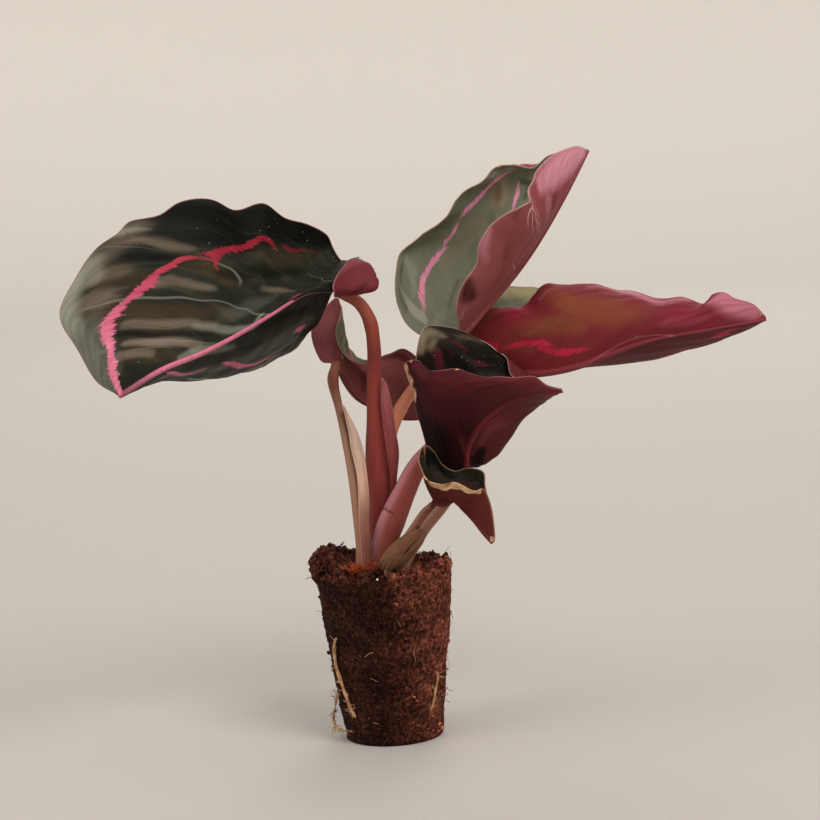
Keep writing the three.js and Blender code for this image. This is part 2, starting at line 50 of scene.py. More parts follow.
# Six leaves. A blade is drawn by its midrib and by the crease and the margin of its two halves,
# all smooth lines from the base to the tip through evenly spaced stations. A half blade swings out
# from the midrib, bends over at its crease and ends at its margin; near is the half on the right
# of the midrib as the green face is looked at with the tip upwards. rib is the half width of the
# midrib at the base, and wave is the height of the ripple of the margins, how many there are, and
# where along its turn it starts.
LEAVES = {
    "left": {
        "rib": 0.62,
        "wave": (0.6, 7, 0.1),
        "midrib": [
            (-7.8, -2, 111.1), (-14.5, -12, 111.5), (-22.5, -21, 108), (-30.5, -29, 104.5),
            (-38.5, -36, 101.5), (-47, -42, 99), (-56.6, -45, 94),
        ],
        "near": {
            "crease": [
                (-7.1, -2.5, 110.7), (14.6, -7.5, 111.2), (12, 1, 119.6), (-3.5, 3, 118),
                (-12, 3, 120), (-17, -1, 120), (-22, -8, 119.5), (-28.5, -14, 118), (-35, -20, 117),
                (-43, -27, 114), (-51.5, -34, 110), (-56.5, -40, 104), (-56.8, -44.8, 94.2),
            ],
            "margin": [
                (-6.4, -3, 110.4), (-7.5, -7.5, 110), (-7.5, -10, 111.5), (-7.5, -11, 113.5),
                (-5.5, -10.5, 116.5), (-3.5, -7, 118.5), (-1, -2, 119), (-4.5, 1, 117.5),
                (-7, 1, 121), (-8.5, 0, 124.5), (-13, -1, 127.5), (-18.5, -3, 129.5),
                (-23, -6, 133.5), (-29.5, -9, 132.5), (-35.5, -12, 135.5), (-42, -15, 135.5),
                (-47, -18, 133), (-53.5, -20, 132), (-56.5, -23, 129.5), (-61.5, -27, 126.5),
                (-66.5, -30, 120), (-70, -34, 112.2), (-65.8, -38.5, 104.3), (-62, -41.5, 97.6),
                (-56.9, -44.6, 94.4),
            ],
        },
        "far": {
            "crease": [
                (-8.3, -1.7, 110.4), (-10.5, 6, 101.5), (-18.5, 4, 91), (-29.5, -4, 86),
                (-39.5, -14, 88), (-48.5, -30, 93.5), (-56.7, -44.7, 93.9),
            ],
            "margin": [
                (-8.9, -1.3, 109.7), (-12.5, 3, 104), (-18.5, 11, 99), (-27, 14, 97), (-37, 8, 96.5),
                (-44.5, -6, 95.5), (-51.5, -28, 96), (-56.7, -44.3, 93.8),
            ],
        },
    },
    "upper": {
        "rib": 1.1,
        "wave": (0.28, 7, 0.3),
        "midrib": [
            (23.1, 8, 97.4), (30.5, 8, 105), (37.5, 7, 112.5), (43.5, 5, 120.5), (50, 4, 130.5),
            (55.8, 2, 140.7),
        ],
        "near": {
            "crease": [
                (22.8, 7.2, 97.7), (32.5, -6, 112.5), (41, -9, 120.5), (49, -6, 130.5),
                (55.6, 1.8, 140.8),
            ],
            "margin": [
                (22.4, 6.4, 98), (22, 2, 101), (21.5, -2, 104.5), (22.5, -5, 109), (24, -7, 112),
                (27, -9, 116), (27.5, -12, 120.5), (30, -14, 124.5), (34, -15, 127.5),
                (38, -15, 129.5), (40.5, -14, 130.5), (40, -12, 133), (41.5, -10, 135),
                (42.5, -9, 137), (44.5, -7, 139), (47, -5, 140.5), (50, -3, 141.5), (53, -1, 142),
                (55.4, 1.5, 140.9),
            ],
        },
        "far": {
            "crease": [
                (22.5, 8.4, 98), (23, 26, 116.5), (27, 24, 125.5), (41, 17, 136), (55.6, 2.1, 140.9),
            ],
            "margin": [
                (21.9, 8.8, 98.6), (19.5, 9, 97), (14, 9, 97), (10, 8, 100), (8, 7, 104.5),
                (7, 6, 109.5), (8, 6, 115), (9.5, 6.5, 119), (13, 7, 121.5), (16, 7.5, 123),
                (20, 8, 126), (23, 8, 129.5), (26, 8, 132.5), (30.5, 8, 135), (33.5, 8, 137.5),
                (38, 7.5, 138), (42.5, 6.5, 137), (47, 5, 140), (55.3, 2.2, 141.1),
            ],
        },
    },
    "right": {
        "rib": 1.1,
        "wave": (0.35, 7, 0.1),
        "midrib": [
            (32.4, 8, 87.1), (41, 4, 87), (49.5, 0, 88.5), (58, -3, 91.5), (67.5, -5, 94.5),
            (77.5, -6, 96), (95.6, -8, 98.1),
        ],
        "near": {
            "crease": [
                (32.4, 8, 88), (41.5, -3, 99.5), (58, -9, 103), (77, -10, 101.5), (95.5, -8.1, 98.4),
            ],
            "margin": [
                (32.4, 7.9, 89), (28, 10, 89), (24, 13, 94), (24.2, 13, 98.8), (28.3, 11.5, 102.6),
                (33.5, 9.5, 103), (38, 7.5, 103.5), (41, 6, 106), (44, 5, 108.5), (49, 4, 108.5),
                (54.5, 3.5, 108), (60, 2.5, 106.5), (65.5, 1.5, 106), (71, -0.5, 103.5),
                (76.5, -2.5, 104), (81.5, -4.5, 102.5), (83.5, -6, 104.5), (86, -7, 105),
                (88.5, -8, 103.5), (92.5, -8.5, 102), (95.5, -8.1, 98.8),
            ],
        },
        "far": {
            "crease": [(32.7, 8.6, 87.7), (47, 15, 85), (60, 13, 81.5), (78, 4, 89), (95.6, -7.7, 98)],
            "margin": [
                (33, 9.3, 88.3), (28.5, 26, 105.5), (39, 30, 106), (47.5, 32, 103), (58.5, 30, 95),
                (69, 22, 89), (79.5, 13, 90), (89, 2, 93.5), (95.7, -7.4, 97.8),
            ],
        },
    },
    "funnel": {
        "rib": 0.9,
        "wave": (0.35, 6, 0.2),
        "midrib": [
            (21.4, -13, 67.7), (22, -15, 73), (24.5, -17, 77.5), (28.5, -17, 81), (32.5, -17, 83.5),
            (38.5, -17, 85), (45.2, -17, 85.1),
        ],
        "near": {
            "crease": [
                (20.7, -12.9, 67.9), (16, -22, 81), (19.5, -25, 88), (30.5, -24, 89),
                (45.2, -17.2, 85.4),
            ],
            "margin": [
                (19.9, -12.9, 66.7), (15.5, -12, 66), (12.8, -11, 70.5), (11, -10, 79),
                (10, -10, 86), (8, -10, 92.5), (11, -12, 94), (14.5, -15.5, 92), (19.5, -18, 92),
                (24, -20, 91), (28.5, -21, 90), (33.5, -21, 89.5), (38.5, -20, 89.5),
                (41.5, -18.5, 87), (45.2, -17.4, 85.7),
            ],
        },
        "far": {
            "crease": [
                (21.1, -12.4, 68), (40.5, -8, 61), (50.5, 0, 71.5), (49.5, -4, 77),
                (45.2, -16.7, 85.1),
            ],
            "margin": [
                (20.7, -11.8, 68.3), (18.5, -8, 69), (14, -3, 76.5), (11, 0, 86.5), (11.5, -1, 95),
                (14, -2, 101), (20.5, 1.5, 99.5), (26, 3, 97), (30.5, 2.5, 94), (33, 1, 91.5),
                (34, -3, 88), (39, -10, 86), (45.2, -16.3, 85.2),
            ],
        },
    },
    "back": {
        "rib": 0.9,
        "wave": (0.4, 5, 0.1),
        "midrib": [
            (-8, 7, 92.6), (-6.5, 9, 87.5), (-4, 12, 83), (0.5, 15, 79.5), (5.5, 18, 76.5),
            (10.5, 20, 75.5), (15.4, 21, 76.1),
        ],
        "near": {
            "crease": [
                (-8.8, 7.2, 92.5), (-8, 7, 94), (-7, 7, 90.5), (-7, 8, 90), (0, 11, 85),
                (5, 13, 84.5), (10, 16, 84.5), (13, 18.5, 81.5), (15.3, 20.9, 76.5),
            ],
            "margin": [
                (-9.5, 7.4, 92.3), (-12.5, 7.5, 93.5), (-14, 9.5, 101), (-8, 9, 108),
                (-6.5, 8.5, 106), (-8, 7, 99), (-3.5, 7, 92), (4, 13, 93), (9, 16, 93.5),
                (14.5, 19, 86.5), (15.3, 20.9, 76.8),
            ],
        },
        "far": {
            "crease": [
                (-8.2, 7.7, 92.8), (-5.5, 16, 90.5), (0.5, 24, 81.5), (7.5, 28, 78),
                (15.3, 21.3, 76.3),
            ],
            "margin": [
                (-8.3, 8.4, 93), (-9.5, 13, 96), (-9, 17, 101), (-6.5, 22, 95), (-3, 26, 91),
                (3.5, 30, 89), (9.5, 32, 86.5), (14.5, 30, 81), (15.2, 21.6, 76.5),
            ],
        },
    },
    "small": {
        "rib": 0.7,
        "wave": (0.3, 4, 0.1),
        "midrib": [
            (13.2, -19.5, 60.8), (15.5, -21, 60.5), (18, -22, 61.5), (20, -23, 59.5),
            (22.5, -24, 56.5), (24.5, -24.5, 53.5), (26.4, -25, 51.1),
        ],
        "near": {
            "crease": [
                (13.1, -19.6, 61.4), (11, -24, 66), (16, -27, 63), (24.5, -27, 62),
                (26.6, -25.1, 51.3),
            ],
            "margin": [
                (13.1, -19.8, 62), (11, -20, 67.5), (11.5, -18, 74), (10, -22, 71.5),
                (11.5, -26, 68), (15, -28, 66.5), (18.5, -28, 66.5), (22.5, -28, 64.5),
                (25, -27, 64.5), (26.5, -27, 60), (27, -26, 54.5), (26.9, -25.3, 51.6),
            ],
        },
        "far": {
            "crease": [
                (13.3, -19.4, 61.4), (13, -16, 68), (18.5, -16, 65), (24, -19, 60.5),
                (26.7, -24.9, 51.3),
            ],
            "margin": [
                (13.4, -19.3, 62), (12, -17, 68), (12, -17.5, 74), (14, -16.5, 72.5),
                (15.5, -16, 69.5), (18.5, -16, 67.5), (22, -16.5, 68), (25, -19, 67.5),
                (25.5, -21, 65), (26, -22, 61), (26, -23, 56), (26.9, -24.7, 51.5),
            ],
        },
    },
}
# Stalks, from below the soil to the base of each blade, with the half width at each station. flat
# is the depth of the section as a share of its width.
STALKS = {
    "left": {
        "path": [
            (-1.9, 3, 35.7), (-1.4, 3, 43.3), (-0.7, 3, 53.3), (0.6, 2.6, 65.8), (1.1, 2.2, 74.3),
            (0.4, 1.6, 81.1), (0.6, 1, 88.3), (1.1, 0, 95.8), (0.6, -0.5, 102.7),
            (-1.8, -1.2, 107.6), (-5.9, -1.6, 110.1),
        ],
        "half": [2, 2.6, 3.3, 3.7, 3.5, 2.1, 1.8, 1.7, 1.55, 1.4, 1.15],
        "flat": [1, 0.9, 0.75, 0.62, 0.62, 0.85, 0.95, 1, 1, 1, 1],
    },
    "back": {
        "path": [
            (-5.4, -5.4, 37.7), (-4.9, -5.4, 45.2), (-4.7, -5.4, 48.9), (-5, -4.6, 55.5),
            (-5.8, -2.6, 64.6), (-7.2, 0, 74.1), (-8.4, 2.4, 81.6), (-9.5, 4.6, 88),
            (-8.7, 6.2, 91.7),
        ],
        "half": [1.5, 1.8, 1.75, 1.7, 1.4, 1.05, 1, 1.25, 1.15],
        "flat": [1],
    },
    "upper": {
        "path": [
            (-2, 8.4, 34.6), (-1.1, 8.4, 44.2), (0.7, 8.4, 56), (2.4, 8.4, 67.2), (3.8, 8.6, 73.9),
            (6.7, 9, 79.9), (10.5, 9.3, 84.9), (15.3, 9.3, 91), (22.1, 8.3, 96.4),
        ],
        "half": [1.5, 1.8, 1.8, 1.7, 1.6, 1.6, 1.5, 1.4, 1.15],
        "flat": [1],
    },
    "right": {
        "path": [
            (-1.5, -3, 37), (-0.8, -3, 44.4), (0.5, -3, 48.8), (2.8, -2.8, 54.1), (6.1, -1.6, 60.4),
            (10, 0.6, 66.7), (15.8, 3, 72.2), (22.3, 4.8, 78.5), (28.4, 6.2, 83.8),
            (31.3, 7.4, 86.2),
        ],
        "half": [2, 2.6, 3, 3.3, 2.8, 2.4, 1.9, 1.5, 1.3, 1.15],
        "flat": [1, 0.95, 0.9, 0.85, 0.85, 0.9, 1, 1, 1, 1],
    },
    "funnel": {
        "path": [
            (4.4, -8.2, 38.9), (5.3, -8.2, 45.1), (7.3, -8.6, 48.7), (10.4, -9.4, 53.1),
            (14.9, -10.6, 58.2), (18.7, -12, 63.1), (21, -12.7, 66.4),
        ],
        "half": [1.5, 1.9, 1.9, 1.8, 1.7, 1.4, 1.1],
        "flat": [1],
    },
    "small": {
        "path": [
            (0.5, -10.6, 38.9), (1.7, -10.8, 45.1), (4.3, -12.2, 48.9), (7.5, -14.6, 53.3),
            (10.6, -17.6, 57.8), (12.3, -18.8, 59.6),
        ],
        "half": [0.9, 1.1, 1.1, 1.1, 1.1, 0.9],
        "flat": [1],
    },
}
# Sheaths, thin skins that lean on the lower stalks. Each is drawn between two sides and bows out
# to a crest line. Stations run downwards.
SHEATHS = {
    "left": {
        "left": [
            (2.5, -1, 89), (2, -1.5, 83.5), (2, -1.5, 77.5), (2.5, -1.5, 71), (3, -1, 64),
            (1.9, 0.3, 57.5), (1, 0.4, 51),
        ],
        "crest": [
            (3, -2.5, 88.5), (3.5, -3, 84), (4.5, -3.5, 77.5), (5, -3, 71.5), (4.5, -1.5, 64),
            (3.3, 0.1, 57.5), (2.2, 0.3, 51),
        ],
        "right": [
            (3.5, -1.5, 88), (4.5, -1, 83), (5, -0.5, 76.5), (5.5, 0, 70.5), (4.5, 0.5, 64),
            (3.5, 2, 57.5), (2.5, 2, 51),
        ],
    },
    "back": {
        "left": [
            (-7.5, 0, 83), (-6.5, -1.5, 77.5), (-6, -3, 72), (-5, -5, 66), (-5, -6, 60),
            (-5.3, -6.7, 54.5), (-5.2, -7.3, 49), (-5.3, -7.4, 43.4),
        ],
        "crest": [
            (-7, -0.5, 82.5), (-5, -3, 77.5), (-4, -4.5, 72), (-3.5, -6, 66), (-3, -7, 60),
            (-3.4, -7.1, 54.5), (-2.9, -7.6, 49), (-3.1, -7.7, 43.3),
        ],
        "right": [
            (-7, 1, 81.5), (-4.5, -0.5, 76.5), (-3, -2, 71), (-2.5, -3, 65), (-2.5, -4, 59.5),
            (-2.9, -4.6, 54.3), (-2.6, -5.2, 48.9), (-2.8, -5.2, 43.2),
        ],
    },
    "front": {
        "left": [
            (8.2, -16.3, 54), (4.5, -15.5, 52), (1.5, -14.5, 49.5), (-0.5, -14, 46.5),
            (-1, -13, 44.5),
        ],
        "crest": [(9.6, -19.5, 54.6), (6.5, -19, 52), (4, -18, 49), (1.5, -17, 46), (0.5, -16, 44)],
        "right": [(11, -14.2, 53), (10, -13, 50), (8, -13, 47.5), (6, -12.5, 45.5), (4, -12.5, 44)],
    },
}
# Roots on the skin of the plug: the angle in degrees from the front, the height, and how far the
# middle of the root stands off the plug's side, at each station.
ROOTS = {
    "left": {
        "half": 0.65,
        "course": [
            (-52, 28, -2), (-58, 26, 0.3), (-63, 20, 0.5), (-55, 13, 0.4), (-48, 8, 0.3),
            (-44, 5, -2),
        ],
    },
    "right": {
        "half": 0.5,
        "course": [(56, 18, -2), (54, 16, 0.3), (50, 12, 0.4), (46, 8, 0.2), (44, 6, -2)],
    },
    "lower": {
        "half": 0.45,
        "course": [
            (-70, 13, -2), (-80, 11, 0.4), (-92, 7, 1.6), (-84, 4, 2.6), (-72, 2.5, 1.2),
            (-64, 3, -2),
        ],
    },
    "rear": {
        "half": 0.6,
        "course": [
            (150, 33, -2), (156, 31, 0.3), (168, 24, 0.5), (186, 16, 0.4), (192, 9, 0.3),
            (194, 6, -2),
        ],
    },
}

# How each leaf is painted. A stroke runs through stations (share of the length, share of the half
# blade, half width in mm, strength); the share of the half blade is below 0 on the far half. RINGS
# holds the rose ring of a leaf, MARKS the patches and the thin lines of its upper and under sides.
RINGS = {
    "left": [
        [(0.33, 0.88, 0.2, 0.2), (0.385, 0.82, 0.3, 0.4), (0.425, 0.78, 0.6, 0.7), (0.45, 0.81, 0.3, 0.4),
         (0.46, 0.8, 0.15, 0)],
        [(0.47, 0.75, 0.2, 0.5), (0.485, 0.77, 0.5, 1), (0.52, 0.77, 0.65, 1), (0.55, 0.73, 0.7, 1),
         (0.585, 0.67, 0.85, 1), (0.615, 0.65, 0.8, 1), (0.625, 0.66, 0.3, 0.8)],
        [(0.6, 0.63, 0.35, 0.8), (0.61, 0.6, 0.35, 1), (0.61, 0.56, 0.2, 0.8)],
        [(0.635, 0.63, 0.15, 0.6), (0.66, 0.68, 0.45, 0.9), (0.68, 0.68, 0.6, 1), (0.705, 0.64, 0.6, 1),
         (0.74, 0.64, 0.65, 1), (0.765, 0.61, 0.85, 1), (0.785, 0.59, 0.85, 1), (0.805, 0.59, 0.65, 1),
         (0.835, 0.6, 0.7, 1), (0.855, 0.59, 0.95, 1), (0.875, 0.56, 0.85, 1), (0.895, 0.52, 0.6, 1),
         (0.92, 0.54, 0.6, 1), (0.945, 0.52, 0.6, 1), (0.97, 0.43, 0.5, 1), (0.99, 0.25, 0.35, 1)],
        [(0.235, -0.56, 0.6, 0.7), (0.245, -0.52, 1.1, 1), (0.265, -0.47, 1.1, 1),
         (0.275, -0.45, 0.5, 0.6)],
        [(0.375, -0.53, 0.15, 0.5), (0.425, -0.47, 0.5, 0.9), (0.475, -0.42, 0.8, 1), (0.505, -0.37, 1, 1),
         (0.53, -0.31, 1.2, 1), (0.57, -0.22, 0.5, 0.9)],
        [(0.65, -0.23, 0.3, 0.5), (0.71, -0.26, 0.75, 0.9), (0.755, -0.27, 0.95, 1), (0.79, -0.17, 0.8, 1),
         (0.81, -0.1, 0.3, 0.7)],
    ],
    "upper": [
        [(0.175, -0.75, 0.4, 0.6), (0.21, -0.73, 0.7, 0.9), (0.24, -0.72, 0.9, 1), (0.27, -0.68, 1, 1),
         (0.295, -0.65, 1, 1), (0.32, -0.62, 1, 1), (0.36, -0.58, 0.4, 0.8)],
        [(0.375, -0.6, 0.3, 0.6), (0.415, -0.62, 0.5, 1), (0.48, -0.67, 0.5, 1), (0.515, -0.71, 0.3, 0.7)],
        [(0.56, -0.77, 0.5, 0.8), (0.585, -0.77, 0.7, 1), (0.61, -0.75, 0.6, 1), (0.65, -0.75, 0.5, 1),
         (0.69, -0.78, 0.4, 0.9)],
        [(0.7, -0.81, 0.5, 0.9), (0.73, -0.81, 0.5, 0.9), (0.755, -0.78, 0.3, 0.8),
         (0.78, -0.75, 0.2, 0.5)],
        [(0.635, -0.42, 0.4, 0.7), (0.665, -0.45, 0.4, 0.9), (0.69, -0.48, 0.4, 0.9),
         (0.725, -0.57, 0.2, 0.6)],
        [(0.1, 0.5, 0.4, 0.6), (0.3, 0.62, 0.8, 1), (0.55, 0.62, 0.9, 1), (0.8, 0.6, 0.7, 1),
         (0.95, 0.4, 0.5, 0.8)],
    ],
    "right": [
        [(0.105, 0.75, 0.5, 0.6), (0.115, 0.66, 0.9, 0.9), (0.12, 0.57, 0.9, 0.9), (0.115, 0.47, 0.4, 0.7)],
        [(0.125, 0.42, 0.4, 0.7), (0.165, 0.37, 0.8, 1), (0.21, 0.35, 0.9, 1), (0.255, 0.35, 0.8, 1),
         (0.275, 0.32, 0.4, 0.8)],
        [(0.23, 0.28, 0.5, 0.8), (0.27, 0.23, 0.8, 1), (0.32, 0.2, 0.9, 1), (0.365, 0.17, 0.7, 1),
         (0.41, 0.15, 0.3, 0.7)],
        [(0.845, -0.42, 0.3, 0.4), (0.865, -0.46, 0.8, 0.8), (0.9, -0.39, 0.6, 0.7),
         (0.92, -0.31, 0.2, 0.3)],
        [(0.15, -0.5, 0.5, 0.7), (0.35, -0.68, 0.9, 1), (0.6, -0.7, 0.9, 1), (0.74, -0.62, 0.5, 1)],
    ],
    "funnel": [
        [(0.375, -0.9, 0.3, 0.5), (0.365, -0.87, 0.5, 0.8), (0.355, -0.85, 0.6, 0.8),
         (0.335, -0.83, 0.4, 0.6)],
        [(0.43, -0.88, 0.2, 0.2), (0.45, -0.85, 0.4, 0.5), (0.455, -0.8, 0.3, 0.3)],
        [(0.435, -0.72, 0.3, 0.3), (0.45, -0.68, 0.6, 0.5), (0.475, -0.68, 0.3, 0.3)],
        [(0.2, 0.6, 0.4, 0.6), (0.45, 0.7, 0.7, 1), (0.7, 0.66, 0.6, 1), (0.9, 0.45, 0.4, 0.8)],
    ],
    "back": [
        [(0.15, -0.6, 0.5, 0.6), (0.35, -0.68, 0.8, 1), (0.6, -0.68, 0.8, 1), (0.85, -0.5, 0.5, 0.8)],
        [(0.25, 0.62, 0.5, 0.8), (0.5, 0.66, 0.8, 1), (0.8, 0.55, 0.5, 0.8)],
    ],
    "small": [
        [(0.3, -0.6, 0.3, 0.5), (0.5, -0.66, 0.5, 0.7), (0.7, -0.6, 0.4, 0.6)],
        [(0.3, 0.6, 0.3, 0.5), (0.5, 0.66, 0.5, 0.7), (0.75, 0.6, 0.4, 0.6)],
    ],
}
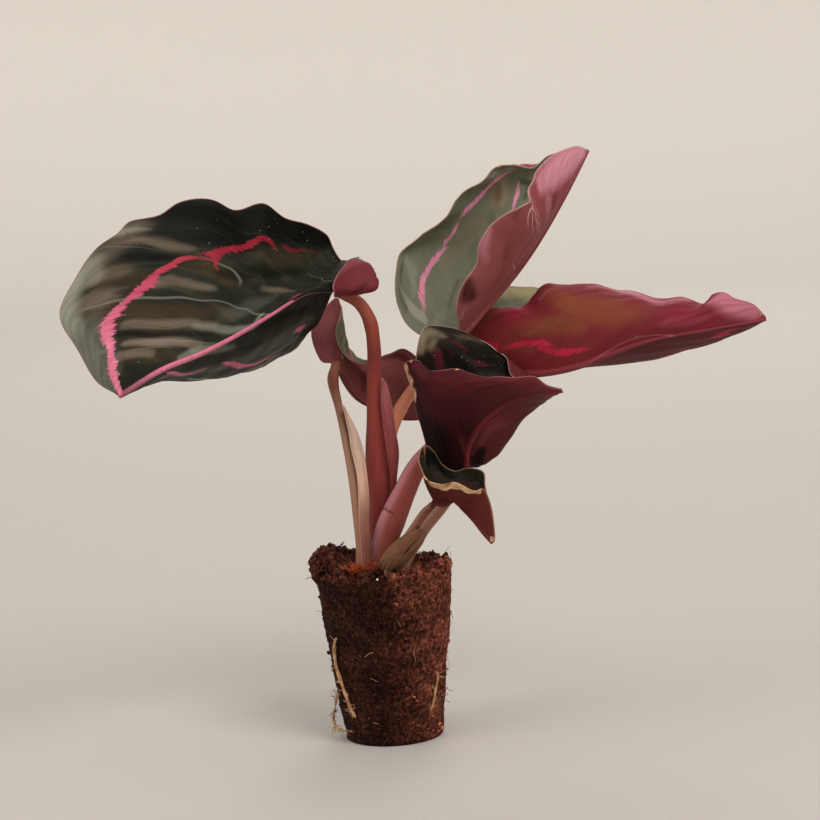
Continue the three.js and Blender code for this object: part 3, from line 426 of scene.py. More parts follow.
MARKS = {
    ("left", "top"): {
        "olive": [
            [(0.55, 0.7, 2.4, 0.3), (0.47, 0.67, 2.9, 0.55), (0.4, 0.72, 2.4, 0.5),
             (0.32, 0.82, 1.5, 0.2)],
            [(0.67, 0.63, 1.2, 0.5), (0.63, 0.57, 2, 0.9), (0.59, 0.5, 2, 0.9), (0.56, 0.47, 1, 0.6)],
            [(0.81, 0.88, 2, 0.5), (0.8, 0.8, 2.2, 0.9), (0.78, 0.7, 2, 0.7)],
            [(0.87, 0.82, 1, 0.7), (0.85, 0.72, 1.5, 0.9), (0.84, 0.63, 1.7, 0.9),
             (0.83, 0.58, 1.5, 0.6)],
            [(0.82, 0.55, 1.7, 0.8), (0.79, 0.43, 2, 1), (0.71, 0.33, 2, 1), (0.62, 0.27, 1.5, 0.9),
             (0.52, 0.18, 0.7, 0.6)],
            [(0.86, 0.43, 1.5, 0.4), (0.81, 0.3, 1.5, 0.5), (0.72, 0.22, 1.5, 0.5)],
            [(0.9, 0.37, 2, 0.6), (0.86, 0.17, 2, 0.7), (0.78, 0.08, 1.5, 0.6)],
        ],
        "tan": [
            [(0.74, 0.9, 1, 0.6), (0.7, 0.83, 1.2, 0.8), (0.68, 0.78, 1.2, 0.7), (0.65, 0.72, 0.7, 0.5)],
            [(0.75, 0.58, 1.2, 0.4), (0.7, 0.53, 1.2, 0.5), (0.64, 0.45, 0.9, 0.6),
             (0.62, 0.42, 0.5, 0.3)],
            [(0.84, 0.47, 1, 0.6), (0.79, 0.33, 1.1, 0.7), (0.71, 0.25, 1.2, 0.6), (0.62, 0.18, 1, 0.45)],
            [(0.87, 0.37, 0.7, 0.7), (0.82, 0.23, 1.1, 0.85), (0.75, 0.15, 1.2, 0.8),
             (0.67, 0.07, 0.9, 0.5)],
            [(0.9, 0.38, 1.2, 0.5), (0.88, 0.28, 1.2, 0.6), (0.84, 0.17, 1.1, 0.55)],
            [(0.47, 0.42, 0.7, 0.3), (0.39, 0.38, 0.9, 0.5), (0.3, 0.32, 0.5, 0.3)],
            [(0.86, 0.88, 1.2, 0.4), (0.84, 0.8, 1.7, 0.6), (0.83, 0.72, 1.7, 0.6), (0.81, 0.67, 1, 0.3)],
            [(0.8, 0.93, 1.7, 0.3), (0.76, 0.95, 2, 0.4), (0.71, 0.95, 2, 0.5), (0.69, 0.98, 1.2, 0.3)],
            [(0.83, 0.92, 1.2, 0.3), (0.81, 0.85, 1.5, 0.4), (0.79, 0.78, 1.5, 0.35)],
        ],
        "dark": [
            [(0.66, 0.98, 2, 0.8), (0.58, 0.88, 3.4, 1), (0.49, 0.9, 4.4, 1), (0.38, 0.95, 3.4, 1)],
            [(0.69, 0.9, 2, 0.5), (0.65, 0.82, 2.4, 0.7), (0.59, 0.75, 2.4, 1), (0.51, 0.78, 2.4, 1)],
            [(0.6, 0.52, 1.5, 0.6), (0.49, 0.55, 2, 0.7), (0.34, 0.6, 1.5, 0.6)],
            [(0.76, 0.83, 1, 0.8), (0.72, 0.73, 1.1, 0.9), (0.68, 0.68, 0.7, 0.8)],
            [(0.81, 0.68, 0.6, 0.5), (0.79, 0.58, 0.7, 0.6)],
            [(0.86, 0.45, 0.7, 0.7), (0.81, 0.28, 0.7, 0.7), (0.74, 0.2, 0.6, 0.6),
             (0.63, 0.12, 0.5, 0.5)],
            [(0.39, -0.05, 1.7, 0.7), (0.28, -0.13, 2, 0.8), (0.19, -0.3, 1.5, 0.7)],
            [(0.52, -0.12, 1, 0.4), (0.42, -0.2, 1.2, 0.5)],
        ],
        "grey_sheen": [
            [(0.75, 1, 1, 0.6), (0.72, 0.95, 0.9, 0.5), (0.7, 0.92, 0.6, 0.3)],
            [(0.82, 1, 2, 0.7), (0.84, 1, 1.7, 0.9), (0.87, 0.98, 1.5, 0.9), (0.89, 0.95, 1.5, 0.6)],
            [(0.81, 0.95, 1, 0.6), (0.82, 0.87, 1, 0.5)],
            [(0.88, 0.88, 1, 0.8), (0.9, 0.92, 1.7, 0.5), (0.92, 0.92, 1.2, 0.3)],
            [(0.72, -0.42, 0.7, 0.9), (0.6, -0.58, 1.2, 0.9), (0.48, -0.55, 1.2, 0.7),
             (0.37, -0.57, 1.2, 0.4)],
            [(0.51, -0.4, 1, 0.5), (0.38, -0.47, 1.1, 0.35), (0.28, -0.55, 1, 0.3)],
            [(0.69, 0.22, 1, 0.3), (0.53, 0.08, 1.2, 0.5), (0.42, 0, 1.2, 0.4), (0.4, 0.08, 1.1, 0.6)],
            [(0.75, 0.03, 1, 0.4), (0.67, 0.03, 1.5, 0.55), (0.53, -0.08, 1.5, 0.3)],
            [(0.92, 0.77, 0.7, 0.5), (0.91, 0.63, 0.7, 0.5)],
            [(0.75, 0.6, 0.7, 0.2), (0.71, 0.58, 0.6, 0.2)],
            [(0.9, 0.92, 2, 0.4), (0.93, 0.93, 2.2, 0.45), (0.95, 0.9, 2, 0.4), (0.99, 1, 1.2, 0.35)],
            [(0.88, 0.77, 2.2, 0.25), (0.91, 0.72, 2.2, 0.3), (0.95, 0.63, 2, 0.25)],
            [(0.22, -0.52, 2.9, 0.18), (0.34, -0.37, 3.9, 0.2), (0.48, -0.3, 2.9, 0.22),
             (0.65, -0.27, 2.2, 0.28), (0.82, -0.27, 1.5, 0.3)],
            [(0.58, 0.23, 2.4, 0.12), (0.49, 0.25, 2.9, 0.15), (0.4, 0.28, 2.4, 0.1)],
        ],
        "line": [
            [(0.86, 0.83, 0.2, 0.5), (0.84, 0.72, 0.2, 0.7), (0.79, 0.55, 0.3, 0.8),
             (0.73, 0.45, 0.3, 0.8), (0.65, 0.37, 0.2, 0.7), (0.53, 0.27, 0.2, 0.8),
             (0.35, 0.03, 0.4, 0.8)],
            [(0.65, 0.67, 0.1, 0.3), (0.6, 0.58, 0.2, 0.75), (0.57, 0.55, 0.2, 0.8),
             (0.55, 0.5, 0.3, 0.7), (0.55, 0.47, 0.2, 0.4)],
            [(0.8, 1, 0.1, 0.2), (0.78, 0.97, 0.1, 0.5), (0.75, 0.88, 0.1, 0.5), (0.71, 0.77, 0.1, 0.3)],
            [(0.31, 0.62, 0.1, 0.2), (0.25, 0.52, 0.1, 0.6), (0.18, 0.32, 0.1, 0.7)],
            [(0.85, 0.3, 0.1, 0.3), (0.79, 0.2, 0.2, 0.6), (0.72, 0.13, 0.2, 0.6), (0.6, 0.03, 0.1, 0.4)],
            [(0.78, 0.13, 0.1, 0.4), (0.84, 0.22, 0.1, 0.5), (0.89, 0.33, 0.1, 0.2)],
            [(0.55, 0.13, 0.1, 0.3), (0.68, 0.22, 0.1, 0.4), (0.78, 0.28, 0.1, 0.4),
             (0.84, 0.43, 0.1, 0.2)],
        ],
    },
    ("right", "top"): {
        "tan": [
            [(0.17, -0.97, 3.4, 1), (0.2, -1, 3.4, 1), (0.24, -0.98, 3.4, 1), (0.28, -0.97, 2.9, 1),
             (0.29, -0.95, 2, 0.6)],
        ],
    },
    ("left", "under"): {
        "light": [
            [(0.16, 0.98, 0.6, 0.3), (0.2, 0.93, 0.7, 0.6), (0.25, 1, 0.6, 0.8)],
        ],
        "dark": [
            [(0.08, 0.78, 1, 0.5), (0.1, 0.72, 0.9, 0.5)],
        ],
        "line": [
            [(0.14, 1, 0.1, 0.3), (0.16, 0.93, 0.1, 0.4), (0.18, 0.83, 0.1, 0.2)],
        ],
    },
    ("upper", "top"): {
        "olive": [
            [(0.72, -0.83, 1.2, 0.6), (0.66, -0.62, 1.6, 0.8), (0.62, -0.52, 1.2, 0.6)],
            [(0.32, -0.53, 1.2, 0.3), (0.38, -0.48, 1.6, 0.35), (0.52, -0.58, 1.6, 0.3)],
            [(0.45, -0.48, 1.2, 0.3), (0.53, -0.53, 1.2, 0.4)],
        ],
        "tan": [
            [(0.72, -0.73, 0.6, 0.5), (0.67, -0.57, 0.7, 0.8), (0.63, -0.52, 0.7, 0.6)],
            [(0.69, -0.73, 0.4, 0.4), (0.65, -0.63, 0.5, 0.5), (0.61, -0.6, 0.4, 0.3)],
        ],
        "dark": [
            [(0.35, -0.93, 0.5, 0.5), (0.32, -0.95, 0.6, 0.7), (0.27, -0.95, 0.6, 0.6),
             (0.21, -0.93, 0.6, 0.6)],
            [(0.22, -0.4, 0.5, 0.5), (0.17, -0.43, 0.6, 0.4), (0.12, -0.5, 0.6, 0.4)],
            [(0.68, -0.67, 0.9, 0.35), (0.65, -0.6, 0.9, 0.35)],
            [(0.57, -0.53, 0.8, 0.3), (0.55, -0.47, 0.8, 0.3)],
            [(0.74, -0.57, 0.8, 0.7), (0.74, -0.47, 0.8, 0.9), (0.69, -0.4, 0.6, 0.7)],
            [(0.28, -0.78, 0.5, 0.3), (0.23, -0.83, 0.5, 0.3)],
        ],
        "grey_sheen": [
            [(0.35, -0.92, 0.8, 0.4), (0.29, -0.8, 1.1, 0.7), (0.24, -0.8, 0.9, 0.5)],
            [(0.68, -0.93, 0.8, 0.4), (0.74, -0.92, 0.8, 0.6), (0.79, -0.8, 0.6, 0.9)],
            [(0.52, -0.73, 0.8, 0.2), (0.58, -0.8, 0.8, 0.3)],
            [(0.12, -0.73, 1, 0.3), (0.11, -0.57, 1, 0.2)],
            [(0.38, -0.45, 0.8, 0.2), (0.44, -0.47, 0.8, 0.2)],
        ],
        "line": [
            [(0.31, -0.97, 0.1, 0.2), (0.25, -0.92, 0.3, 0.6), (0.2, -0.87, 0.5, 0.9),
             (0.16, -0.82, 0.5, 1), (0.14, -0.82, 0.3, 1)],
        ],
    },
    ("upper", "under"): {
        "light": [
            [(0.69, 0.87, 2, 0.7), (0.78, 0.77, 2.8, 0.9), (0.89, 0.67, 2.4, 1), (0.97, 0.6, 1.2, 0.9)],
            [(0.68, 0.63, 1.6, 0.4), (0.64, 0.42, 1.2, 0.2)],
            [(0.38, 0.98, 1, 0.4), (0.34, 0.95, 1.2, 0.55), (0.3, 0.87, 1, 0.3)],
            [(0.07, 0.92, 0.6, 0.5), (0.11, 0.82, 0.6, 0.3)],
            [(0.61, 1, 0.8, 0.6), (0.58, 0.97, 0.6, 0.8)],
        ],
        "brown": [
            [(0.4, 0.92, 1.6, 0.3), (0.42, 0.72, 2, 0.4), (0.35, 0.53, 2, 0.4), (0.21, 0.43, 2, 0.3)],
        ],
        "dark": [
            [(0.22, 0.98, 1, 0.6), (0.16, 0.83, 1.4, 0.8), (0.15, 0.7, 0.8, 0.6)],
            [(0.72, 0.52, 1, 0.5), (0.69, 0.43, 0.9, 0.4)],
            [(0.39, 0.67, 1, 0.35), (0.36, 0.6, 1, 0.3)],
            [(0.47, 0.93, 0.8, 0.3), (0.49, 0.97, 0.7, 0.3)],
        ],
        "red": [
            [(0.74, 0.18, 1.2, 0.7), (0.62, 0.15, 1.4, 0.8), (0.49, 0.18, 1.2, 0.7),
             (0.36, 0.15, 1, 0.5)],
        ],
        "line": [
            [(0.58, 0.93, 0.3, 0.9), (0.53, 0.9, 0.3, 1), (0.51, 0.82, 0.2, 0.8), (0.5, 0.72, 0.1, 0.5)],
            [(0.52, 0.56, 0.1, 0.4), (0.525, 0.72, 0.15, 0.8), (0.545, 0.87, 0.15, 0.8)],
            [(0.565, 0.88, 0.15, 0.8), (0.555, 0.75, 0.15, 0.9), (0.55, 0.5, 0.1, 0.5)],
            [(0.57, 0.4, 0.1, 0.3), (0.575, 0.65, 0.12, 0.6), (0.6, 0.84, 0.12, 0.6)],
            [(0.37, 0.32, 0.2, 0.8), (0.37, 0.2, 0.2, 0.8)],
            [(0.54, 0.15, 0.2, 0.7), (0.55, 0.15, 0.2, 0.7)],
        ],
    },
    ("right", "under"): {
        "light": [
            [(0.5, 0.93, 0.9, 0.3), (0.55, 1, 1.1, 0.7), (0.6, 0.88, 1.1, 0.8), (0.66, 0.78, 1, 0.5)],
            [(0.68, 0.82, 1.2, 0.4), (0.71, 0.92, 0.9, 0.5)],
            [(0.81, 0.8, 1, 0.6), (0.85, 0.88, 2, 1), (0.93, 0.82, 2.4, 1), (0.97, 0.66, 1.6, 0.8)],
            [(0.71, 0.35, 1.8, 0.15), (0.82, 0.37, 1.8, 0.2)],
            [(0.35, 0.88, 0.4, 0.3), (0.41, 0.88, 0.4, 0.3)],
        ],
        "brown": [
            [(0.38, 0.9, 1.5, 0.7), (0.4, 0.72, 2.4, 1), (0.44, 0.6, 3.4, 1), (0.53, 0.5, 3.4, 0.8),
             (0.61, 0.43, 2.4, 0.4)],
            [(0.22, 0.5, 1.8, 0.6), (0.31, 0.53, 2.7, 0.9), (0.4, 0.42, 2.7, 0.9)],
            [(0.13, 0.42, 1.5, 0.5), (0.19, 0.28, 1.5, 0.6)],
            [(0.14, 1, 1.5, 0.9), (0.17, 0.93, 1.5, 0.9), (0.22, 0.88, 1, 0.5)],
            [(0.13, 0.95, 1.2, 0.9), (0.2, 0.87, 1.3, 0.6)],
        ],
        "dark": [
            [(0.37, 0.97, 0.3, 0.6), (0.35, 0.97, 0.4, 0.7), (0.31, 1, 0.4, 0.6)],
            [(0.2, 0.78, 0.9, 0.3), (0.24, 0.87, 0.7, 0.4)],
            [(0.4, -0.08, 0.6, 0.7), (0.56, -0.2, 0.9, 0.9), (0.72, -0.48, 0.6, 0.8),
             (0.85, -0.93, 0.5, 0.6)],
            [(0.56, 0.33, 1.2, 0.2), (0.64, 0.48, 1.2, 0.2)],
        ],
        "red": [
            [(0.2, 0.67, 1.2, 0.5), (0.26, 0.83, 1.2, 0.9), (0.33, 0.93, 0.7, 0.7)],
            [(0.71, 0.5, 2.4, 0.3), (0.86, 0.33, 2.4, 0.4)],
            [(0.1, 0.15, 1.8, 0.3), (0.2, 0.18, 1.8, 0.3)],
        ],
        "line": [
            [(0.17, 0, 0.2, 0.4), (0.34, 0, 0.2, 0.5), (0.46, 0.03, 0.2, 0.6), (0.55, 0.1, 0.2, 0.6),
             (0.62, 0.13, 0.2, 0.6)],
            [(0.61, 0.15, 0.2, 0.6), (0.72, 0.07, 0.2, 0.7), (0.76, 0.02, 0.2, 0.9),
             (0.83, -0.07, 0.2, 0.5), (0.88, -0.08, 0.2, 0.3)],
            [(0.74, 0.05, 0.2, 0.9), (0.77, 0.02, 0.2, 0.9)],
        ],
    },
    ("funnel", "under"): {
        "light": [
            [(0.41, 0.92, 0.9, 0.3), (0.41, 0.75, 1.1, 0.3)],
            [(0.85, -0.85, 1.5, 0.3), (0.9, 0.57, 1.5, 0.4), (0.94, -0.15, 0.9, 0.5)],
            [(0.24, -0.08, 0.6, 0.5), (0.37, -0.07, 1.2, 0.5), (0.44, -0.13, 1.2, 0.3)],
        ],
        "brown": [
            [(0.19, 0.13, 0.9, 0.3), (0.09, 0.02, 0.7, 0.6)],
        ],
        "dark": [
            [(0.19, 1, 1.8, 0.9), (0.14, 0.62, 3, 1), (0.05, 0.78, 2.4, 1)],
            [(0.34, 0.82, 0.7, 0.3), (0.23, 0.93, 1.2, 0.5)],
            [(0.15, -0.15, 1.2, 1), (0.21, -0.13, 1.1, 1), (0.09, -0.22, 1.2, 1), (0.14, -0.22, 1.1, 1)],
            [(0.1, -0.13, 0.7, 0.9), (0.1, -0.27, 1.1, 1)],
            [(0.4, 0.32, 3.7, 0.2), (0.33, 0.08, 3, 0.3)],
        ],
        "red": [
            [(0.42, 0.6, 2.4, 0.25), (0.57, 0.58, 2.4, 0.3), (0.72, 0.72, 1.8, 0.25)],
        ],
        "line": [
            [(0.02, -0.02, 0.4, 0.8), (0.14, -0.02, 0.4, 0.8), (0.24, -0.02, 0.3, 0.7),
             (0.36, -0.02, 0.2, 0.45), (0.47, -0.05, 0.2, 0.35)],
            [(0.43, -0.15, 0.1, 0.1), (0.52, -0.2, 0.2, 0.3)],
            [(0.63, 1, 0.2, 0.9), (0.65, 1, 0.2, 0.9)],
            [(0.44, -0.07, 0.2, 0.3), (0.56, -0.12, 0.2, 0.3)],
        ],
    },
    ("funnel", "top"): {
        "tan": [
            [(0.38, -1, 1.2, 0.7), (0.35, -0.97, 0.9, 0.6)],
            [(0.4, -0.93, 0.5, 0.5), (0.37, -0.9, 0.4, 0.4)],
        ],
        "grey_sheen": [
            [(0.4, -0.97, 1, 0.5), (0.43, -0.92, 0.7, 0.4)],
            [(0.49, -0.92, 0.9, 0.2), (0.58, -0.95, 0.7, 0.2)],
        ],
        "dark": [
            [(0.41, -0.82, 1.8, 0.6), (0.45, -0.72, 3, 1), (0.52, -0.68, 2.4, 1)],
        ],
    },
    ("small", "top"): {
        "dark": [
            [(0.16, -0.82, 1.5, 1), (0.39, -0.85, 1.8, 1)],
            [(0.54, -0.9, 1.2, 0.5), (0.62, -0.88, 1, 0.5)],
        ],
    },
    ("back", "under"): {
        "light": [
            [(0.28, 0.93, 0.8, 0.8), (0.24, 0.88, 1, 0.8), (0.21, 0.82, 1, 0.5)],
            [(0.31, 0.97, 0.6, 0.6), (0.32, 1, 0.5, 0.4)],
        ],
        "dark": [
            [(0.68, 0.98, 0.8, 0.6), (0.74, 0.93, 1, 0.8), (0.78, 0.83, 0.8, 0.8)],
            [(0.57, 0.68, 1, 0.7), (0.45, 0.2, 1, 0.5)],
            [(0.69, 0.57, 1.6, 0.3), (0.74, 0.23, 1.2, 0.4)],
        ],
        "line": [
            [(0.38, 0.37, 0.1, 0.3), (0.45, 0.32, 0.2, 0.4), (0.47, 0.27, 0.1, 0.3)],
        ],
    },
}
# Dry spots, as (share of the length, share of the half blade, radius in mm, strength).
DRY = {
    "left": [(0, 0, 0.6, 0.4)],
    "upper": [(0.79, -0.98, 1.6, 1), (0.84, -0.97, 1.2, 0.9), (0.76, 0.97, 0.7, 0.5)],
    "right": [(0.985, 0.9, 0.8, 0.6), (0.9, 0.98, 0.6, 0.5)],
    "funnel": [
        (0.36, 0.99, 1.2, 1), (0.34, 0.99, 1.9, 1), (0.31, 0.98, 2, 1), (0.28, 0.97, 1.6, 1),
        (0.59, 0.99, 0.6, 0.9), (0.41, 0.99, 0.7, 0.8), (0.85, 0.98, 0.4, 0.5),
    ],
    "back": [(0.29, 0.42, 0.9, 0.9), (0.02, 0, 0.8, 0.9)],
    "small": [
        (0.42, 0.95, 1.3, 1), (0.48, 0.93, 1.5, 1), (0.55, 0.94, 1.5, 1), (0.62, 0.97, 1.2, 1),
        (0.67, 0.97, 1.2, 1), (0.36, 0.98, 0.7, 0.8), (0.97, 0.5, 1, 0.8),
    ],
}
# The patches come in these kinds, laid over each other in this order. The grey patches of the
# upper side are a painted sheen, and so are the tan ones of the funnel leaf.
# The dark patches are partly painted shade in folds and hollows, and partly darker tissue.
UPPER_KINDS = ["olive", "tan", "dark", "grey_sheen"]
# On the under side the light patches are painted highlights, and the brown ones are partly painted light
# shining through the blade and partly brown tissue.
UNDER_KINDS = ["brown", "light", "dark", "red"]
# Colours of the upper side: its ground, the darkest and the palest green of its bands, the kinds of
# patch, its thin lines, and its ring from the base to the tip as (place, colour).
UPPER_TONES = {
    "left": {
        "ground": (0.013, 0.015, 0.01), "low": (0.005, 0.0055, 0.004), "high": (0.045, 0.05, 0.036),
        "olive": (0.04, 0.028, 0.014), "tan": (0.18, 0.135, 0.1), "dark": (0.003, 0.0028, 0.0018),
        "grey_sheen": (0.25, 0.25, 0.2), "line": (0.2, 0.2, 0.16),
        # The left leaf's ring: painted shade darkens it to the base, a painted sheen pales it to the tip.
        "rose": [(0.3, (0.14, 0.007, 0.015)), (0.5, (0.2, 0.009, 0.02)), (0.62, (0.3, 0.02, 0.038)),
                 (0.72, (0.4, 0.04, 0.07)), (0.8, (0.48, 0.075, 0.14)), (0.9, (0.6, 0.17, 0.26)),
                 (1, (0.58, 0.15, 0.23))],
    },
    "upper": {
        "ground": (0.2, 0.212, 0.15), "low": (0.15, 0.16, 0.11), "high": (0.28, 0.28, 0.21),
        "olive": (0.24, 0.185, 0.11), "tan": (0.36, 0.27, 0.17), "dark": (0.06, 0.062, 0.043),
        "grey_sheen": (0.36, 0.36, 0.29), "line": (0.46, 0.43, 0.35),
        "rose": [(0.2, (0.76, 0.28, 0.42)), (0.6, (0.9, 0.32, 0.5)), (0.8, (0.9, 0.38, 0.52))],
    },
    "right": {
        "ground": (0.12, 0.13, 0.085), "low": (0.07, 0.075, 0.05), "high": (0.2, 0.2, 0.14),
        "olive": (0.2, 0.16, 0.08), "tan": (0.3, 0.26, 0.14), "dark": (0.04, 0.045, 0.028),
        "grey_sheen": (0.25, 0.24, 0.17), "line": (0.3, 0.29, 0.19),
        "rose": [(0, (0.56, 0.08, 0.16)), (1, (0.5, 0.07, 0.14))],
    },
    "funnel": {
        "ground": (0.014, 0.011, 0.007), "low": (0.005, 0.004, 0.003), "high": (0.035, 0.028, 0.019),
        "olive": (0.045, 0.034, 0.02), "tan": (0.38, 0.28, 0.18), "dark": (0.004, 0.003, 0.0022),
        "grey_sheen": (0.3, 0.24, 0.16), "line": (0.1, 0.09, 0.065),
        "rose": [(0, (0.09, 0.01, 0.018)), (1, (0.12, 0.014, 0.025))],
    },
    "back": {
        "ground": (0.12, 0.125, 0.085), "low": (0.07, 0.078, 0.05), "high": (0.22, 0.22, 0.155),
        "olive": (0.18, 0.15, 0.085), "tan": (0.28, 0.22, 0.14), "dark": (0.035, 0.04, 0.026),
        "grey_sheen": (0.24, 0.24, 0.19), "line": (0.32, 0.32, 0.25),
        "rose": [(0, (0.6, 0.12, 0.14)), (1, (0.5, 0.1, 0.12))],
    },
    "small": {
        "ground": (0.02, 0.016, 0.009), "low": (0.005, 0.004, 0.0025), "high": (0.045, 0.036, 0.02),
        "olive": (0.03, 0.023, 0.013), "tan": (0.16, 0.11, 0.06), "dark": (0.002, 0.002, 0.0015),
        "grey_sheen": (0.05, 0.042, 0.03), "line": (0.06, 0.05, 0.035),
        "rose": [(0, (0.05, 0.01, 0.012)), (1, (0.05, 0.01, 0.012))],
    },
}
# Colours of the under side: along the near and the far half from base to tip as (place, colour),
# then its kinds of patch, thin lines, midrib, margin, and the ring where it shows through, which is
# painted light shining through the blade.
UNDER_TONES = {
    "left": {
        "near": [(0, (0.15, 0.026, 0.034)), (1, (0.13, 0.024, 0.032))],
        "far": [(0, (0.15, 0.028, 0.036)), (1, (0.1, 0.018, 0.025))],
        "brown": (0.16, 0.05, 0.04), "light": (0.25, 0.06, 0.08), "dark": (0.03, 0.005, 0.006),
        "red": (0.25, 0.03, 0.05), "line": (0.4, 0.12, 0.14), "rib": (0.28, 0.07, 0.08),
        "margin": (0.42, 0.17, 0.19), "ring": (0.4, 0.05, 0.09), "shows": 0.2,
    },
    "upper": {
        "near": [(0, (0.36, 0.11, 0.11)), (0.35, (0.32, 0.09, 0.092)), (0.6, (0.25, 0.062, 0.068)),
                 (0.8, (0.27, 0.055, 0.072)), (1, (0.38, 0.11, 0.145))],
        "far": [(0, (0.22, 0.055, 0.06)), (1, (0.19, 0.042, 0.054))],
        "brown": (0.2, 0.045, 0.04), "light": (0.58, 0.25, 0.32), "dark": (0.05, 0.011, 0.012),
        "red": (0.27, 0.025, 0.045), "line": (0.72, 0.42, 0.42), "rib": (0.25, 0.05, 0.065),
        "margin": (0.55, 0.3, 0.29), "ring": (0.45, 0.06, 0.1), "shows": 0.05,
    },
    "right": {
        "near": [(0, (0.2, 0.028, 0.026)), (0.2, (0.21, 0.028, 0.03)), (0.5, (0.17, 0.022, 0.028)),
                 (0.75, (0.175, 0.022, 0.032)), (1, (0.22, 0.035, 0.05))],
        "far": [(0, (0.12, 0.016, 0.02)), (0.6, (0.09, 0.012, 0.016)), (1, (0.12, 0.016, 0.024))],
        "brown": (0.2, 0.052, 0.028), "light": (0.46, 0.15, 0.2), "dark": (0.08, 0.009, 0.013),
        "red": (0.24, 0.014, 0.04), "line": (0.4, 0.13, 0.15), "rib": (0.25, 0.05, 0.065),
        "margin": (0.36, 0.12, 0.12), "ring": (0.6, 0.025, 0.07), "shows": 0.9,
    },
    "funnel": {
        "near": [(0, (0.012, 0.002, 0.0025)), (0.3, (0.04, 0.006, 0.008)), (0.6, (0.065, 0.01, 0.013)),
                 (0.85, (0.11, 0.017, 0.022)), (1, (0.15, 0.026, 0.034))],
        "far": [(0, (0.05, 0.008, 0.01)), (0.5, (0.09, 0.014, 0.018)), (1, (0.12, 0.02, 0.026))],
        "brown": (0.12, 0.02, 0.016), "light": (0.15, 0.032, 0.042), "dark": (0.006, 0.0015, 0.0015),
        "red": (0.085, 0.01, 0.014), "line": (0.26, 0.05, 0.06), "rib": (0.16, 0.02, 0.026),
        "margin": (0.3, 0.13, 0.13), "ring": (0.2, 0.02, 0.03), "shows": 0.04,
    },
    "back": {
        "near": [(0, (0.23, 0.066, 0.073)), (0.4, (0.2, 0.058, 0.062)), (1, (0.19, 0.056, 0.058))],
        "far": [(0, (0.11, 0.024, 0.029)), (0.5, (0.1, 0.022, 0.027)), (1, (0.12, 0.025, 0.03))],
        "brown": (0.12, 0.04, 0.03), "light": (0.27, 0.085, 0.095), "dark": (0.06, 0.011, 0.014),
        "red": (0.2, 0.03, 0.045), "line": (0.26, 0.12, 0.1), "rib": (0.15, 0.04, 0.04),
        "margin": (0.26, 0.11, 0.12), "ring": (0.3, 0.05, 0.07), "shows": 0.08,
    },
    "small": {
        "near": [(0, (0.06, 0.01, 0.012)), (0.5, (0.085, 0.015, 0.012)), (1, (0.11, 0.022, 0.018))],
        "far": [(0, (0.04, 0.007, 0.008)), (1, (0.07, 0.011, 0.01))],
        "brown": (0.14, 0.05, 0.03), "light": (0.14, 0.03, 0.035), "dark": (0.01, 0.003, 0.003),
        "red": (0.14, 0.02, 0.025), "line": (0.2, 0.08, 0.05), "rib": (0.12, 0.024, 0.022),
        "margin": (0.3, 0.16, 0.1), "ring": (0.2, 0.03, 0.03), "shows": 0.04,
    },
}
# Along each stalk from the soil upwards: (place, colour), then the tone of its lit left side.
BARK = {
    "left": [(0, (0.1, 0.022, 0.018)), (0.15, (0.14, 0.025, 0.022)), (0.3, (0.29, 0.05, 0.044)),
             (0.45, (0.31, 0.052, 0.044)), (0.7, (0.22, 0.039, 0.03)), (0.82, (0.3, 0.075, 0.045)),
             (1, (0.4, 0.12, 0.075))],
    "back": [(0, (0.24, 0.07, 0.048)), (0.3, (0.28, 0.13, 0.085)), (0.6, (0.38, 0.22, 0.14)),
             (0.85, (0.16, 0.048, 0.028)), (1, (0.23, 0.085, 0.05))],
    "upper": [(0, (0.25, 0.07, 0.045)), (0.5, (0.8, 0.28, 0.16)), (0.7, (0.96, 0.4, 0.24)),
              (1, (0.7, 0.2, 0.12))],
    "right": [(0, (0.25, 0.085, 0.055)), (0.3, (0.27, 0.066, 0.052)), (0.6, (0.29, 0.062, 0.052)),
              (1, (0.16, 0.026, 0.022))],
    "funnel": [(0, (0.34, 0.18, 0.12)), (0.35, (0.46, 0.24, 0.16)), (0.8, (0.28, 0.1, 0.07)),
               (1, (0.18, 0.04, 0.034))],
    "small": [(0, (0.26, 0.13, 0.075)), (0.5, (0.28, 0.12, 0.075)), (1, (0.16, 0.04, 0.03))],
}
LIT_SIDES = {
    "left": (0.27, 0.06, 0.05), "back": (0.34, 0.16, 0.1), "upper": (0.8, 0.3, 0.18),
    "right": (0.58, 0.26, 0.3), "funnel": (0.58, 0.33, 0.25), "small": (0.36, 0.18, 0.12),
}


# Lines and grids.


def along(stations, shares):
    """Places at these shares of the smooth line through evenly spaced stations."""
    p = np.asarray(stations, float)
    p = np.concatenate([[2 * p[0] - p[1]], p, [2 * p[-1] - p[-2]]])
    x = np.clip(shares, 0, 1) * (len(stations) - 1)
    at = np.minimum(x.astype(int), len(stations) - 2)
    f = (x - at).reshape(-1, *[1] * (p.ndim - 1))
    p0, p1, p2, p3 = p[at], p[at + 1], p[at + 2], p[at + 3]
    twist = 3 * (p1 - p2) + p3 - p0
    return p1 + 0.5 * f * (p2 - p0 + f * (2 * p0 - 5 * p1 + 4 * p2 - p3 + f * twist))


def unit(vectors):
    length = np.linalg.norm(vectors, axis=-1, keepdims=True)
    return vectors / np.maximum(length, 1e-9)


def smooth(low, high, value):
    """0 below low, 1 above high, and a smooth rise between."""
    t = np.clip((value - low) / (high - low), 0, 1)
    return t * t * (3 - 2 * t)


def mesh_from(shape):
    mesh = bpy.data.meshes.new("shape")
    shape.to_mesh(mesh)
    shape.free()
    return mesh


